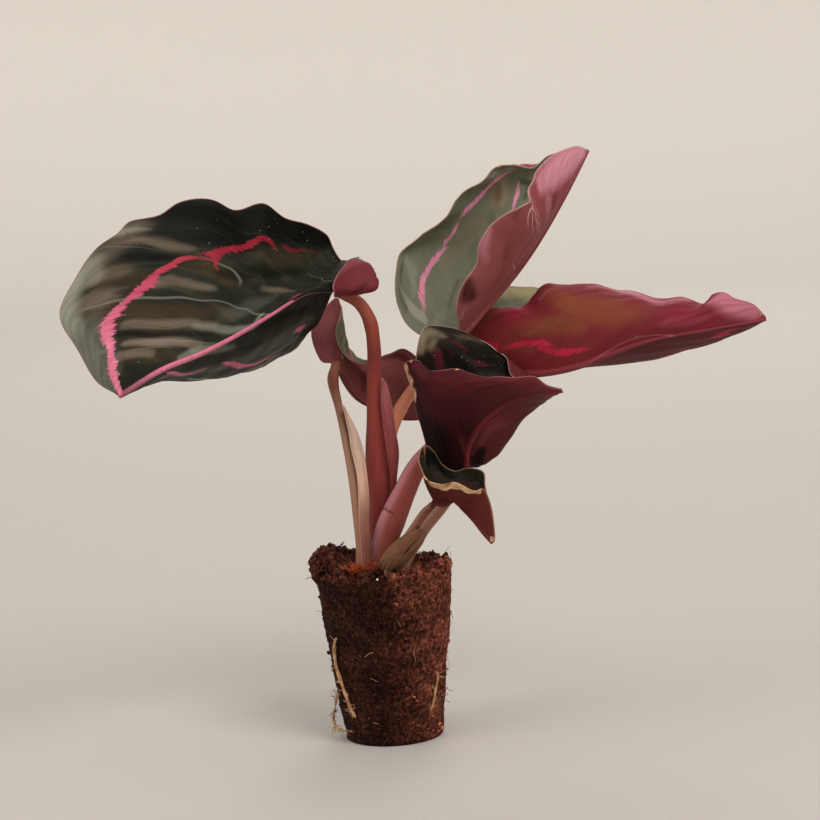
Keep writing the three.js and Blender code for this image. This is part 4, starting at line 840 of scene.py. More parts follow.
def two_skins(rows, columns):
    """A closed mesh of two grids and the rim between them. A point's x and y tell its column and
    its row, from -1 to 1, and its z tells its skin: 0 for the upper and -1 for the lower."""
    shape = bmesh.new()
    bmesh.ops.create_grid(shape, x_segments=columns, y_segments=rows, size=1)
    whole = shape.verts[:] + shape.edges[:] + shape.faces[:]
    copy = bmesh.ops.duplicate(shape, geom=whole)["geom"]
    faces = [part for part in copy if isinstance(part, bmesh.types.BMFace)]
    corners = [part for part in copy if isinstance(part, bmesh.types.BMVert)]
    bmesh.ops.translate(shape, verts=corners, vec=(0, 0, -1))
    bmesh.ops.reverse_faces(shape, faces=faces)
    for face in faces:
        face.material_index = 1
    rim = [edge for edge in shape.edges if edge.is_boundary]
    for edge in rim:
        edge.smooth = False
    bmesh.ops.bridge_loops(shape, edges=rim)
    bmesh.ops.recalc_face_normals(shape, faces=shape.faces[:])
    return mesh_from(shape)


def skin_places(mesh, rows, columns):
    """The row and the column of each point of two skins, and whether it is on the upper skin."""
    x, y, z = places(mesh).T
    row = np.rint((y + 1) / 2 * rows).astype(int)
    column = np.rint((x + 1) / 2 * columns).astype(int)
    return row, column, (z > -0.5)[:, None]


def lathe(profile, steps, join):
    """A shape turned about the z axis from (radius, height), with points nearer than join joined."""
    shape = bmesh.new()
    corners = [shape.verts.new((r, 0, z)) for r, z in profile]
    edges = [shape.edges.new(pair) for pair in zip(corners, corners[1:])]
    bmesh.ops.spin(
        shape, geom=corners + edges, cent=(0, 0, 0), axis=(0, 0, 1), angle=2 * math.pi,
        steps=steps, use_merge=True,
    )
    bmesh.ops.remove_doubles(shape, verts=shape.verts[:], dist=join)
    bmesh.ops.recalc_face_normals(shape, faces=shape.faces[:])
    return shape


def rod(sides, steps):
    """A closed round rod of radius 1 from z -1 to z 1, split into even steps."""
    shape = bmesh.new()
    bmesh.ops.create_cone(shape, cap_ends=True, segments=sides, radius1=1, radius2=1, depth=2)
    upright = [e for e in shape.edges if abs(e.verts[0].co.z - e.verts[1].co.z) > 1]
    bmesh.ops.subdivide_edges(shape, edges=upright, cuts=steps - 1)
    return mesh_from(shape)


def pebble(fineness, seed):
    """A rough lump of radius about 1."""
    shape = bmesh.new()
    bmesh.ops.create_icosphere(shape, subdivisions=fineness, radius=1)
    for corner in shape.verts:
        away = noise.noise(corner.co * 1.3 + Vector((seed, 0, 0)))
        corner.co *= 1 + 0.55 * away
    return mesh_from(shape)


def places(mesh):
    co = np.empty(len(mesh.vertices) * 3, np.float32)
    mesh.vertices.foreach_get("co", co)
    return co.reshape(-1, 3).astype(float)


def piece(name, parts, materials, node=None, facts=None, rounded=True):
    """A finished piece: meshes, each with its points in mm, its materials, the node that it
    stands for, and facts about its points for the materials to read."""
    heap = bmesh.new()
    for mesh, _ in parts:
        heap.from_mesh(mesh)
    made = mesh_from(heap)
    made.name = name
    points = np.concatenate([points for _, points in parts]) * MM
    made.vertices.foreach_set("co", points.astype(np.float32).ravel())
    for fact, values in (facts or {}).items():
        layer = made.attributes.new(fact, "FLOAT_VECTOR", "POINT")
        layer.data.foreach_set("vector", np.asarray(values, np.float32).ravel())
    made.polygons.foreach_set("use_smooth", [rounded] * len(made.polygons))
    made.update()
    made.validate()
    thing = bpy.data.objects.new(name, made)
    bpy.context.scene.collection.objects.link(thing)
    for material in materials:
        made.materials.append(material)
    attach(thing, "root")
    if node:
        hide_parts(node)
    return thing


# Blades.

# Half the thickness of a blade and the share of it that its margins lose; the midrib's half width
# at the tip and the most of the reach that it takes; the depth of its channel above and of its
# ridge below, as shares of its half width; and the quick ripple, as a share of the slow one.
BLADE = {
    "half": 0.26, "thin": 0.5, "rib_tip": 0.3, "most_rib": 0.4, "channel": 0.22, "ridge": 0.85,
    "quick": 0.16,
}
BLADE_MESH = {
    "left": (200, 50), "upper": (180, 46), "right": (200, 46), "funnel": (170, 46),
    "back": (130, 36), "small": (120, 32),
}
SWING_STEPS = 48
# Where the veins leave the midrib and how they run on towards the tip: a vein that starts a share
# y short of the tip is at y - (y - BOW * y * y) * out ** RUN_OUT once it is a share out.
BOW = 0.17
RUN_OUT = 0.75
VEINS = 5
# The height of the fine pleats along the veins.
PLEAT = 0.08


def half_blade(leaf, side, u, shares):
    """The points of a half blade at these shares of its length and of its reach, and the reach."""
    q = np.linspace(0, 1, SWING_STEPS + 1)[None, :, None]
    lines = leaf["midrib"], leaf[side]["crease"], leaf[side]["margin"]
    start, fold, end = [along(line, u)[:, None] for line in lines]
    swing = (1 - q) ** 2 * start + 2 * q * (1 - q) * fold + q * q * end
    steps = np.linalg.norm(np.diff(swing, axis=1), axis=2)
    run = np.concatenate([np.zeros((len(u), 1)), np.cumsum(steps, axis=1)], axis=1)
    points = np.empty((len(u), len(shares), 3))
    for i in range(len(u)):
        for axis in range(3):
            points[i, :, axis] = np.interp(shares * run[i, -1], run[i], swing[i, :, axis])
    return points, run[:, -1]


def strand_at(u, out):
    """Which vein passes here: its start, as a share of the midrib short of the tip."""
    q = np.abs(out) ** RUN_OUT
    left = 1 - u
    return 2 * left / np.maximum(1 - q + np.sqrt((1 - q) ** 2 + 4 * BOW * q * left), 1e-6)


STROKE_STEPS = 90
PATCH_STEPS = 40
# The distance that is stored where a leaf has no strokes.
FAR_OFF = 9


def nearest_stroke(strokes, u, v, flat):
    """Signed distance in mm from the nearest stroke's middle line, its half width and strength."""
    best = np.full(u.shape, -1e9)
    found = np.zeros(u.shape + (3,))
    found[..., 0] = FAR_OFF
    points = flat(u, v)
    for stroke in strokes:
        stations = along(stroke, np.linspace(0, 1, STROKE_STEPS))
        width, strength = stations[:, 2:].T
        path = flat(stations[:, 0], stations[:, 1])
        ahead = unit(np.gradient(path, axis=0))
        away = points[..., None, :] - path
        at = np.argmin(np.einsum("...i,...i", away, away), axis=-1)
        delta = np.take_along_axis(away, at[..., None, None], axis=-2)[..., 0, :]
        way = ahead[at]
        across = way[..., 0] * delta[..., 1] - way[..., 1] * delta[..., 0]
        past = np.abs((way * delta).sum(-1))
        room = width[at] - np.hypot(across, past)
        fade = (1 - smooth(0.2, 0.8, past)) * (1 - smooth(1, 1.8, np.abs(across) - width[at]))
        better = room > best
        best = np.where(better, room, best)
        values = np.stack([across, width[at], strength[at] * fade], -1)
        found = np.where(better[..., None], values, found)
    return found


def patch_field(strokes, u, v, flat):
    """How strongly soft strokes cover these places."""
    points = flat(u, v)
    field = np.zeros(u.shape)
    for stroke in strokes:
        stations = along(stroke, np.linspace(0, 1, PATCH_STEPS))
        width, strength = np.maximum(stations[:, 2:], 0.05).T
        away = np.linalg.norm(points[..., None, :] - flat(stations[:, 0], stations[:, 1]), axis=-1)
        cover = strength * (1 - smooth(0.35, 1.5, away / width))
        field = np.maximum(field, cover.max(axis=-1))
    return field


def blade(name):
    leaf = LEAVES[name]
    rows, columns = BLADE_MESH[name]
    even = np.linspace(0, 1, rows + 1)
    u = (even + (1 - np.cos(np.pi * even)) / 2) / 2
    shares = np.linspace(0, 1, columns + 1) ** 1.3
    far, far_reach = half_blade(leaf, "far", u, shares)
    near, near_reach = half_blade(leaf, "near", u, shares)
    middle = np.concatenate([far[:, :0:-1], near], axis=1)
    v = np.concatenate([-shares[:0:-1], shares])[None, :]
    share = np.abs(v)
    reach = np.where(v < 0, far_reach[:, None], near_reach[:, None])
    u = u[:, None] + 0 * v
    v = v + 0 * u

    def facing(surface):
        crosswise = np.gradient(surface, axis=1)
        lengthwise = np.gradient(surface, axis=0)
        return unit(np.cross(crosswise, lengthwise))

    normal = facing(middle)
    height, count, phase = leaf["wave"]
    swell = height * np.sin(np.pi * u) * np.sin(2 * np.pi * (count * u + phase))
    quick = np.sin(2 * np.pi * (2.3 * count * u + 3 * phase))
    quick = quick + 0.6 * np.sin(2 * np.pi * 4.1 * count * u)
    swell = swell + BLADE["quick"] * height * quick * np.sin(np.pi * u)
    middle = middle + normal * (swell * share ** 3)[..., None]

    strand = strand_at(u, share)
    body = smooth(0, 0.25, share) * (1 - smooth(0.75, 1, share)) * smooth(2, 9, reach)
    pleat = PLEAT * np.cos(2 * np.pi * VEINS * strand) * body
    out = share * reach
    rib = leaf["rib"] + (BLADE["rib_tip"] - leaf["rib"]) * u
    rib = np.minimum(rib, BLADE["most_rib"] * reach)
    channel = BLADE["channel"] * rib * np.exp(-(out / np.maximum(rib, 0.05)) ** 2)
    middle = middle + normal * pleat[..., None]
    normal = facing(middle)
    half = BLADE["half"] * (1 - BLADE["thin"] * share ** 6)
    ridge = np.sqrt(np.maximum(0, rib ** 2 - out ** 2))
    upper = middle + normal * (half - channel)[..., None]
    lower = middle - normal * (half + BLADE["ridge"] * ridge)[..., None]

    length = np.linalg.norm(np.diff(along(leaf["midrib"], even), axis=0), axis=1).sum()

    def flat(at_u, at_v):
        wide = np.where(
            at_v < 0, np.interp(at_u, even_u, far_reach), np.interp(at_u, even_u, near_reach)
        )
        return np.stack([at_u * length, at_v * wide], -1)

    even_u = u[:, 0]
    spots = flat(u, v)
    dry = np.zeros(u.shape)
    for at_u, at_v, radius, strength in DRY[name]:
        away = np.linalg.norm(spots - flat(np.array(at_u), np.array(at_v)), axis=-1)
        dry = np.maximum(dry, strength * (1 - smooth(0.3 * radius, radius, away)))

    mesh = two_skins(rows, 2 * columns)
    i, j, top = skin_places(mesh, rows, 2 * columns)
    points = np.where(top, upper[i, j], lower[i, j])
    lines, patches = [], []
    for side, kinds in (("top", UPPER_KINDS), ("under", UNDER_KINDS)):
        marks = MARKS.get((name, side), {})
        lines.append(nearest_stroke(marks.get("line", []), u, v, flat)[i, j])
        fields = [patch_field(marks.get(kind, []), u, v, flat) for kind in kinds]
        patches.append(np.stack(fields, -1)[i, j])
    patch = np.where(top, *patches)
    facts = {
        "span": np.stack([u, v, strand], -1)[i, j],
        "reach": np.stack([u * length, out, reach - out], -1)[i, j],
        "ring": nearest_stroke(RINGS[name], u, v, flat)[i, j],
        "line": np.where(top, *lines),
        "patch": patch[:, :3],
        "dry": np.stack([dry[i, j], rib[i, j], patch[:, 3]], -1),
    }
    materials = [green_face(name), wine_face(name)]
    return piece(f"{name}_leaf", [(mesh, points)], materials, f"{name}_blade", facts)


# Stalks and roots.

END_STEP = 0.01
ACROSS = np.array([0.0, -1.0, 0.0])


def frames(path, t):
    """The places on a smooth line, the way it runs there, and two directions across it."""
    centre = along(path, t)
    tangent = unit(along(path, np.minimum(t + END_STEP, 1)) - along(path, np.maximum(t - END_STEP, 0)))
    up = unit(ACROSS - tangent * (tangent @ ACROSS)[:, None])
    return centre, tangent, up, np.cross(tangent, up)


def cord_points(mesh, path, half, flat, after=0.0, flutes=0.0):
    """The points of a rod laid along a path, longer at its far end by this length."""
    grid = places(mesh)
    t = (grid[:, 2] + 1) / 2
    turn = np.arctan2(grid[:, 1], grid[:, 0])
    centre, tangent, up, side = frames(path, t)
    end = np.where(t > 1 - 1e-6, after, 0)
    centre = centre + tangent * end[:, None]
    wide = along(half, t) if len(half) > 1 else np.full(len(t), half[0])
    thick = along(flat, t) if len(flat) > 1 else np.full(len(t), flat[0])
    wide = wide * (1 + flutes * (np.cos(7 * turn) + 0.6 * np.cos(12 * turn + 2)))
    points = centre + side * (wide * np.cos(turn))[:, None] + up * (wide * thick * np.sin(turn))[:, None]
    return points, t, turn


STALK_MESH = (36, 150)
STALK_FLUTES = 0.014
# How far a stalk reaches on into its blade, and the joints of some stalks, as (place, half length
# in shares, swelling in mm).
INTO_BLADE = {"left": 0.9, "back": 0.9, "upper": 0.8, "right": 0.7, "funnel": 0.6, "small": 0.8}
JOINTS = {
    "left": [(0.795, 0.03, 0.16), (0.9, 0.07, 0.1)],
    "back": [(0.9, 0.06, 0.15)],
    "right": [(0.36, 0.012, -0.06)],
    "upper": [(0.62, 0.015, 0.1)],
}


def stalk(name):
    shape = STALKS[name]
    mesh = rod(*STALK_MESH)
    points, t, turn = cord_points(mesh, **shape, after=INTO_BLADE[name], flutes=STALK_FLUTES)
    centre = frames(shape["path"], t)[0]
    for place, length, swelling in JOINTS.get(name, []):
        grow = swelling * np.exp(-((t - place) / length) ** 2)
        points = points + unit(points - centre) * grow[:, None]
    facts = {
        "span": np.stack([t, np.cos(turn), np.sin(turn)], -1),
        "reach": np.stack([points[:, 2], points[:, 0], points[:, 1]], -1),
    }
    return piece(f"{name}_stem", [(mesh, points)], [stalk_skin(name)], f"{name}_stalk", facts)


SHEATH_MESH = (90, 28)
# Half the thickness of a sheath, the share of it that its margins lose, and the heights of its
# broad and its narrow ribs.
SHEATH_SKIN = {"half": 0.13, "thin": 0.5, "broad": 0.07, "narrow": 0.05}


def sheath(name):
    """A thin dry skin, with fine ribs along it and a frayed upper end."""
    lines = SHEATHS[name]
    rows, columns = SHEATH_MESH
    u, q = np.meshgrid(np.linspace(0, 1, rows + 1), np.linspace(0, 1, columns + 1), indexing="ij")
    left, crest, right = [
        along(lines[side], u[:, 0])[:, None] for side in ("left", "crest", "right")
    ]
    w = q[..., None]
    middle = (1 - w) ** 2 * left + 2 * w * (1 - w) * crest + w * w * right
    crosswise, lengthwise = np.gradient(middle, axis=1), np.gradient(middle, axis=0)
    outward = unit(np.cross(lengthwise, crosswise))
    ribs = SHEATH_SKIN["broad"] * np.sin(2 * np.pi * 5 * q)
    ribs = ribs + SHEATH_SKIN["narrow"] * np.sin(2 * np.pi * (9 * q + 2 * u))
    middle = middle + outward * ribs[..., None]
    half = SHEATH_SKIN["half"] * (1 - SHEATH_SKIN["thin"] * np.abs(2 * q - 1) ** 4)
    outer = middle + outward * half[..., None]
    inner = middle - outward * half[..., None]
    mesh = two_skins(rows, columns)
    i, j, top = skin_places(mesh, rows, columns)
    points = np.where(top, inner[i, j], outer[i, j])
    facts = {"span": np.stack([u, q, 0 * q], -1)[i, j]}
    skin = sheath_skin(name)
    return piece(f"{name}_husk", [(mesh, points)], [skin, skin], f"{name}_sheath", facts)


# The plug.

# The radii of the plug and its height, and how far its top falls to the left for each mm across.
PLUG = {"top": 17, "foot": 12, "height": 43}
TOP_SLOPE = 0.06
# Crumbs as the solid has them: their size, and their height on the side and on the top.
CRUMB = {"size": 3, "side": 0.4, "top": 0.9}
# The loose peat heaped on the top. It hangs over the rim, but only within the lip below the top.
MOUNDS = [
    {"x": -12, "y": 4, "spread": 8.5, "height": 4.6, "overhang": 2.6},
    {"x": 0, "y": -3, "spread": 7, "height": 1.5, "overhang": 0},
]
LIP = 2.5
HEAP = MOUNDS[0]
PLUG_STEPS = 190
PLUG_ROWS = {"foot": 10, "side": 74, "top": 32}
# Finer roughness, as (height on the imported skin, height more where the peat is loose), and pores.
GRAIN = (0.3, 0.9)
CLOD = (0.25, 1.3)
PORE = 1.1
# Nearer the axis than this, the crumbs of the side fade out.
LEAST_RADIUS = 4
# What scatters the lumps, the same as for the solid.
SCATTER = (127.1, 311.7, 74.7)
SCATTER_GAIN = 43758.5453


def lumps(points, size):
    """Smooth lumps from 0 to 1, one to each cube of space of the given size."""
    cell = np.floor(points / size)
    f = points / size - cell
    f = f * f * (3 - 2 * f)

    def corner(a, b, c):
        at = cell + (a, b, c)
        value = np.sin(at @ SCATTER) * SCATTER_GAIN
        return value - np.floor(value)

    total = 0
    for a in (0, 1):
        for b in (0, 1):
            for c in (0, 1):
                weight = np.prod(np.where((a, b, c), f, 1 - f), axis=1)
                total = total + weight * corner(a, b, c)
    return total


def nearness(mound, x, y):
    """1 at the middle of a mound, less and less away from it."""
    return np.exp(-((x - mound["x"]) ** 2 + (y - mound["y"]) ** 2) / mound["spread"] ** 2)


def plug_shape():
    """The plug as a lathed profile, roughened into crumbs, pores and a loose mound."""
    foot, height = PLUG["foot"], PLUG["height"]
    profile = [(r, 0.0) for r in np.linspace(0, foot, PLUG_ROWS["foot"])]
    slope = PLUG["top"] - foot
    rows = np.linspace(0, 1, PLUG_ROWS["side"])[1:]
    profile += [(foot + slope * t, height * t) for t in rows]
    profile += [(r, height) for r in np.linspace(PLUG["top"], 0, PLUG_ROWS["top"])[1:]]
    mesh = mesh_from(lathe(profile, PLUG_STEPS, 1e-4))
    place = places(mesh)
    x, y, z = place.T
    radius = np.hypot(x, y)
    rough = 2 * lumps(place, CRUMB["size"]) - 1
    high = np.maximum(0, 1 - (height - z) / LIP)
    side_out, lift = CRUMB["side"] * rough, CRUMB["top"] * rough
    for mound in MOUNDS:
        near = nearness(mound, x, y)
        side_out = side_out + mound["overhang"] * near * high
        lift = lift + mound["height"] * near
    off_foot = smooth(0, 1.5, z)
    swell = 1 + off_foot * side_out / np.maximum(radius, LEAST_RADIUS)
    sink = TOP_SLOPE * (PLUG["top"] - x) * (z / height)
    lift = np.where(z > height - 1e-4, lift, 0)
    points = np.stack([x * swell, y * swell, z - sink + lift], -1)

    outward = np.stack([x, y, 0 * x], -1) / np.maximum(radius, 1e-6)[:, None]
    rim = smooth(height - 1.5, height, z) * smooth(PLUG["top"] - 2, PLUG["top"], radius)
    top = smooth(height - 0.5, height, z) * (1 - 0.5 * rim)
    outward = unit(outward * (1 - top)[:, None] + np.array([0, 0, 1.0]) * top[:, None])
    fine = []
    for p, loose in zip(points, np.maximum(top, nearness(HEAP, x, y) * high)):
        at = Vector(p)
        grain = noise.noise(at * 0.9) * 0.5 + noise.noise(at * 2.1) * 0.3
        clod = 0.22 - noise.voronoi(at * 0.75)[0][0]
        pore = max(0.0, 0.3 - noise.voronoi(at * 0.55 + Vector((7, 0, 0)))[0][0])
        rough = grain * (GRAIN[0] + GRAIN[1] * loose) + clod * (CLOD[0] + CLOD[1] * loose)
        fine.append(rough - PORE * pore)
    points = points + outward * (np.array(fine) * off_foot)[:, None]
    return mesh, points


# Crumbs, fibres and roots.

# Rays start above the plug and outside it. The last is about a full turn, in radians.
ABOVE = 70
OUTSIDE = 40
FULL_TURN = 6.3


def top_at(tree, x, y):
    """The point on the plug's top straight below the air here, if there is one."""
    return tree.ray_cast(Vector((x, y, ABOVE)), Vector((0, 0, -1)))[0]


def side_at(tree, turn, z):
    """The point on the plug's side at this turn and height, and the way out of the peat there."""
    way = Vector((math.cos(turn), math.sin(turn), 0))
    return tree.ray_cast(way * OUTSIDE + Vector((0, 0, z)), -way)[:2]


# Two plain lumps for small crumbs and two finer ones for larger crumbs.
PEBBLES = [pebble(1, 3), pebble(1, 9), pebble(2, 5), pebble(2, 14)]


def turned_pebble(which, centre, size):
    """A pebble's points, turned and stretched at random."""
    angle = chance.uniform(0, FULL_TURN)
    turn = Matrix.Rotation(angle, 3, Vector([chance.gauss(0, 1) for _ in range(3)]))
    stretch = Matrix.Diagonal([size * chance.uniform(0.6, 1.25) for _ in range(3)])
    matrix = np.array(turn @ stretch)
    return places(PEBBLES[which]) @ matrix.T + np.array(centre)


THREAD = rod(4, 6)
WANDER_STEPS = 4


def thread(points, radii):
    """A thin closed thread through these points."""
    return THREAD, cord_points(THREAD, points, radii, [1])[0]


def wander(start, way, length, bend=0.5):
    """Points of a crooked line."""
    at, way = np.array(start, float), unit(np.array(way, float))
    points = [tuple(at)]
    for _ in range(WANDER_STEPS):
        way = unit(way + bend * np.array([chance.gauss(0, 0.4) for _ in range(3)]))
        at = at + way * length / WANDER_STEPS
        points.append(tuple(at))
    return points


# Where the stalks stand in the peat, and the radius about each that stays free of crumbs.
STEM_FEET = [
    ((-1.7, 3), 3.6), ((-5.2, -5.4), 2.8), ((-1.7, 8.4), 2.6), ((-1.3, -3), 3.6), ((4.8, -8.2), 2.6),
    ((1.2, -10.7), 1.8),
]
# How many crumbs and fibres are strewn, and the share of the side's fibres that is pale.
CRUMB_COUNTS = {"top": 620, "heap": 330, "side": 420}
FIBRE_COUNTS = {"side": 190, "top": 130}
PALE_SHARE = 0.28


def under_stem(x, y):
    return any(math.hypot(x - at[0], y - at[1]) < room for at, room in STEM_FEET)


def crumbs(tree):
    """Loose peat on the top of the plug, piled up on its mound, and specks on its side."""
    parts = []
    for _ in range(CRUMB_COUNTS["top"]):
        radius = PLUG["top"] * math.sqrt(chance.uniform(0, 1))
        turn = chance.uniform(0, FULL_TURN)
        x, y = radius * math.cos(turn), radius * math.sin(turn)
        hit = top_at(tree, x, y)
        if hit is None or under_stem(x, y):
            continue
        size = min(1.3, 0.28 + chance.expovariate(4))
        which = chance.randrange(2) if size < 0.7 else 2 + chance.randrange(2)
        parts.append((PEBBLES[which], turned_pebble(which, hit + Vector((0, 0, 0.2 * size)), size)))
    for _ in range(CRUMB_COUNTS["heap"]):
        x, y = chance.gauss(HEAP["x"] - 0.5, 3.4), chance.gauss(HEAP["y"] - 2, 4.6)
        hit = top_at(tree, x, y)
        if hit is None or hit.z < PLUG["height"] - 4 or under_stem(x, y):
            continue
        size = min(1.7, 0.4 + chance.expovariate(2.6))
        which = 2 + chance.randrange(2)
        pile = chance.uniform(-0.2, 0.9)
        parts.append((PEBBLES[which], turned_pebble(which, hit + Vector((0, 0, pile)), size)))
    for _ in range(CRUMB_COUNTS["side"]):
        turn = chance.uniform(0, FULL_TURN)
        hit, out = side_at(tree, turn, PLUG["height"] * chance.uniform(0.03, 1))
        if hit is None:
            continue
        size = 0.16 + chance.expovariate(9)
        parts.append((PEBBLES[0], turned_pebble(0, hit + out * 0.3 * size, size)))
    return piece("loose_peat", parts, [peat("loose_peat", 2.7)], rounded=False)


def fibres(tree):
    """Short brown and tan fibres that stick out of the peat."""
    brown, tan = [], []
    for _ in range(FIBRE_COUNTS["side"]):
        turn = chance.uniform(0, FULL_TURN)
        hit, out = side_at(tree, turn, PLUG["height"] * chance.uniform(0.04, 1))
        if hit is None:
            continue
        along_skin = Vector([chance.gauss(0, 1) for _ in range(3)])
        way = along_skin - out * along_skin.dot(out) * 0.8 + out * 0.12
        line = wander(hit - out * 0.1, way, chance.uniform(1.2, 4.2))
        line = [p for p in line if p[2] > 0.3]
        if len(line) < 3:
            continue
        heap = tan if chance.random() < PALE_SHARE else brown
        heap.append(thread(line, [chance.uniform(0.04, 0.09)]))
    for _ in range(FIBRE_COUNTS["top"]):
        x, y = chance.gauss(-6, 7), chance.gauss(0, 7)
        hit = top_at(tree, x, y)
        if hit is None or hit.z < PLUG["height"] - 4:
            continue
        way = (chance.gauss(0, 1), chance.gauss(0, 1), chance.uniform(0, 0.5))
        line = wander(hit, way, chance.uniform(1.5, 5))
        brown.append(thread(line, [chance.uniform(0.07, 0.18)]))
    dark = plain("dark_fibre", (0.035, 0.01, 0.005), (0.11, 0.035, 0.018))
    piece("dark_fibres", brown, [dark])
    pale = plain("pale_fibre", (0.3, 0.15, 0.07), (0.5, 0.3, 0.16))
    piece("pale_fibres", tan, [pale])


def root_line(name):
    """A root's path over the plug's side."""
    points = []
    for angle, z, off in ROOTS[name]["course"]:
        radius = PLUG["foot"] + (PLUG["top"] - PLUG["foot"]) * z / PLUG["height"] + off
        turn = math.radians(angle)
        points.append((radius * math.sin(turn), -radius * math.cos(turn), z))
    return points


ROOT_ROD = rod(10, 60)
# The width of a root along it, as shares of its greatest; how many side roots it has, and how
# much thinner it is than its solid.
ROOT_TAPER = [0.25, 0.8, 1, 1, 0.8, 0.3]
HAIRS = {"left": 46, "right": 18, "lower": 64, "rear": 26}
SLENDER = {"left": 0.68, "right": 0.55, "lower": 0.5, "rear": 0.75}


def root(name):
    """A root with its side roots."""
    line = root_line(name)
    half = ROOTS[name]["half"] * SLENDER[name]
    points, t, turn = cord_points(ROOT_ROD, line, [half * share for share in ROOT_TAPER], [1])
    knobs = 0.22 * half * np.sin(46 * t + 2 * np.sin(9 * t)) * np.cos(2 * turn)
    centre = frames(line, t)[0]
    points = points + unit(points - centre) * knobs[:, None]
    parts = [(ROOT_ROD, points)]
    for _ in range(HAIRS[name]):
        t = chance.uniform(0.12, 0.93)
        at = along(line, np.array([t]))[0]
        out = unit(np.array([at[0], at[1], 0]))
        way = out * chance.uniform(0, 0.5) + unit(np.array([chance.gauss(0, 1) for _ in range(3)]))
        way = way + np.array([0, 0, -0.2])
        hair = wander(at, way, chance.uniform(1, 3.4), bend=0.7)
        hair = [p for p in hair if math.hypot(p[0], p[1]) > 10 and p[2] > 0.4]
        if len(hair) > 2:
            width = chance.uniform(0.05, 0.12)
            parts.append(thread(hair, [1.3 * width, width, 0.4 * width]))
    skin = plain(f"{name}_root_skin", (0.34, 0.16, 0.07), (0.56, 0.34, 0.18))
    return piece(f"{name}_rootlets", parts, [skin], f"{name}_root")


# Bristles about the feet of three stalks: the middle of each ring, its radius and their number.
FRINGES = [
    {"middle": (-1.7, 3, 42.6), "radius": 2.6, "count": 60},
    {"middle": (-1.3, -4.6, 42.8), "radius": 3, "count": 190},
    {"middle": (-5.2, -6.2, 42.9), "radius": 2.4, "count": 380},
]


def crown_fringe():
    """Orange-brown bristles at the crown."""
    parts = []
    for fringe in FRINGES:
        for _ in range(fringe["count"]):
            turn = chance.uniform(0, FULL_TURN)
            out = np.array([math.cos(turn), math.sin(turn), 0])
            start = np.array(fringe["middle"]) + out * fringe["radius"] * chance.uniform(0.85, 1.5)
            way = np.array([chance.gauss(0, 1), chance.gauss(0, 1), chance.uniform(-0.1, 1.2)])
            width = chance.uniform(0.08, 0.2)
            line = wander(start, way, chance.uniform(1.2, 3.2), bend=0.6)
            parts.append(thread(line, [width, 0.8 * width, 0.15 * width]))
    skin = plain("fringe", (0.22, 0.022, 0.005), (0.5, 0.11, 0.028))
    return piece("crown_fringe", parts, [skin])


# Grains of perlite, as (x, y, radius).
GRAINS = [(3, -15.4, 0.42), (-1.6, -15.5, 0.26), (9, 10, 0.6), (13, -3, 0.35)]


def grains(tree):
    """White grains on the rim and the top."""
    parts = []
    for x, y, size in GRAINS:
        hit = top_at(tree, x, y)
        parts.append((PEBBLES[2], turned_pebble(2, hit + Vector((0, 0, 0.3 * size)), size)))
    return piece("white_grains", parts, [plain("grain", (0.75, 0.66, 0.6), (0.9, 0.86, 0.82))])


def plug():
    mesh, points = plug_shape()
    shape = bmesh.new()
    shape.from_mesh(mesh)
    for corner, point in zip(shape.verts, points):
        corner.co = point
    tree = BVHTree.FromBMesh(shape)
    shape.free()
    piece("peat_plug", [(mesh, points)], [peat("peat", 1)], "root_plug")
    crumbs(tree)
    fibres(tree)
    grains(tree)


# Materials.

class Value:
    """A socket whose numbers can be reckoned with."""

    def __init__(self, paint, socket):
        self.paint, self.socket = paint, socket

    def reckon(self, operation, *others):
        terms = {i: term for i, term in enumerate((self, *others))}
        return self.paint.node("Math", {"operation": operation}, terms)

    def __add__(self, other):
        return self.reckon("ADD", other)

    __radd__ = __add__

    def __sub__(self, other):
        return self.reckon("SUBTRACT", other)

    def __rsub__(self, other):
        return self.paint.node("Math", {"operation": "SUBTRACT"}, {0: other, 1: self})

    def __mul__(self, other):
        return self.reckon("MULTIPLY", other)

    __rmul__ = __mul__

    def __abs__(self):
        return self.reckon("ABSOLUTE")

    def rise(self, low, high):
        """0 below low and 1 above high, smooth between."""
        inputs = {"Value": self, "From Min": low, "From Max": high}
        return self.paint.node("MapRange", {"interpolation_type": "SMOOTHSTEP"}, inputs)


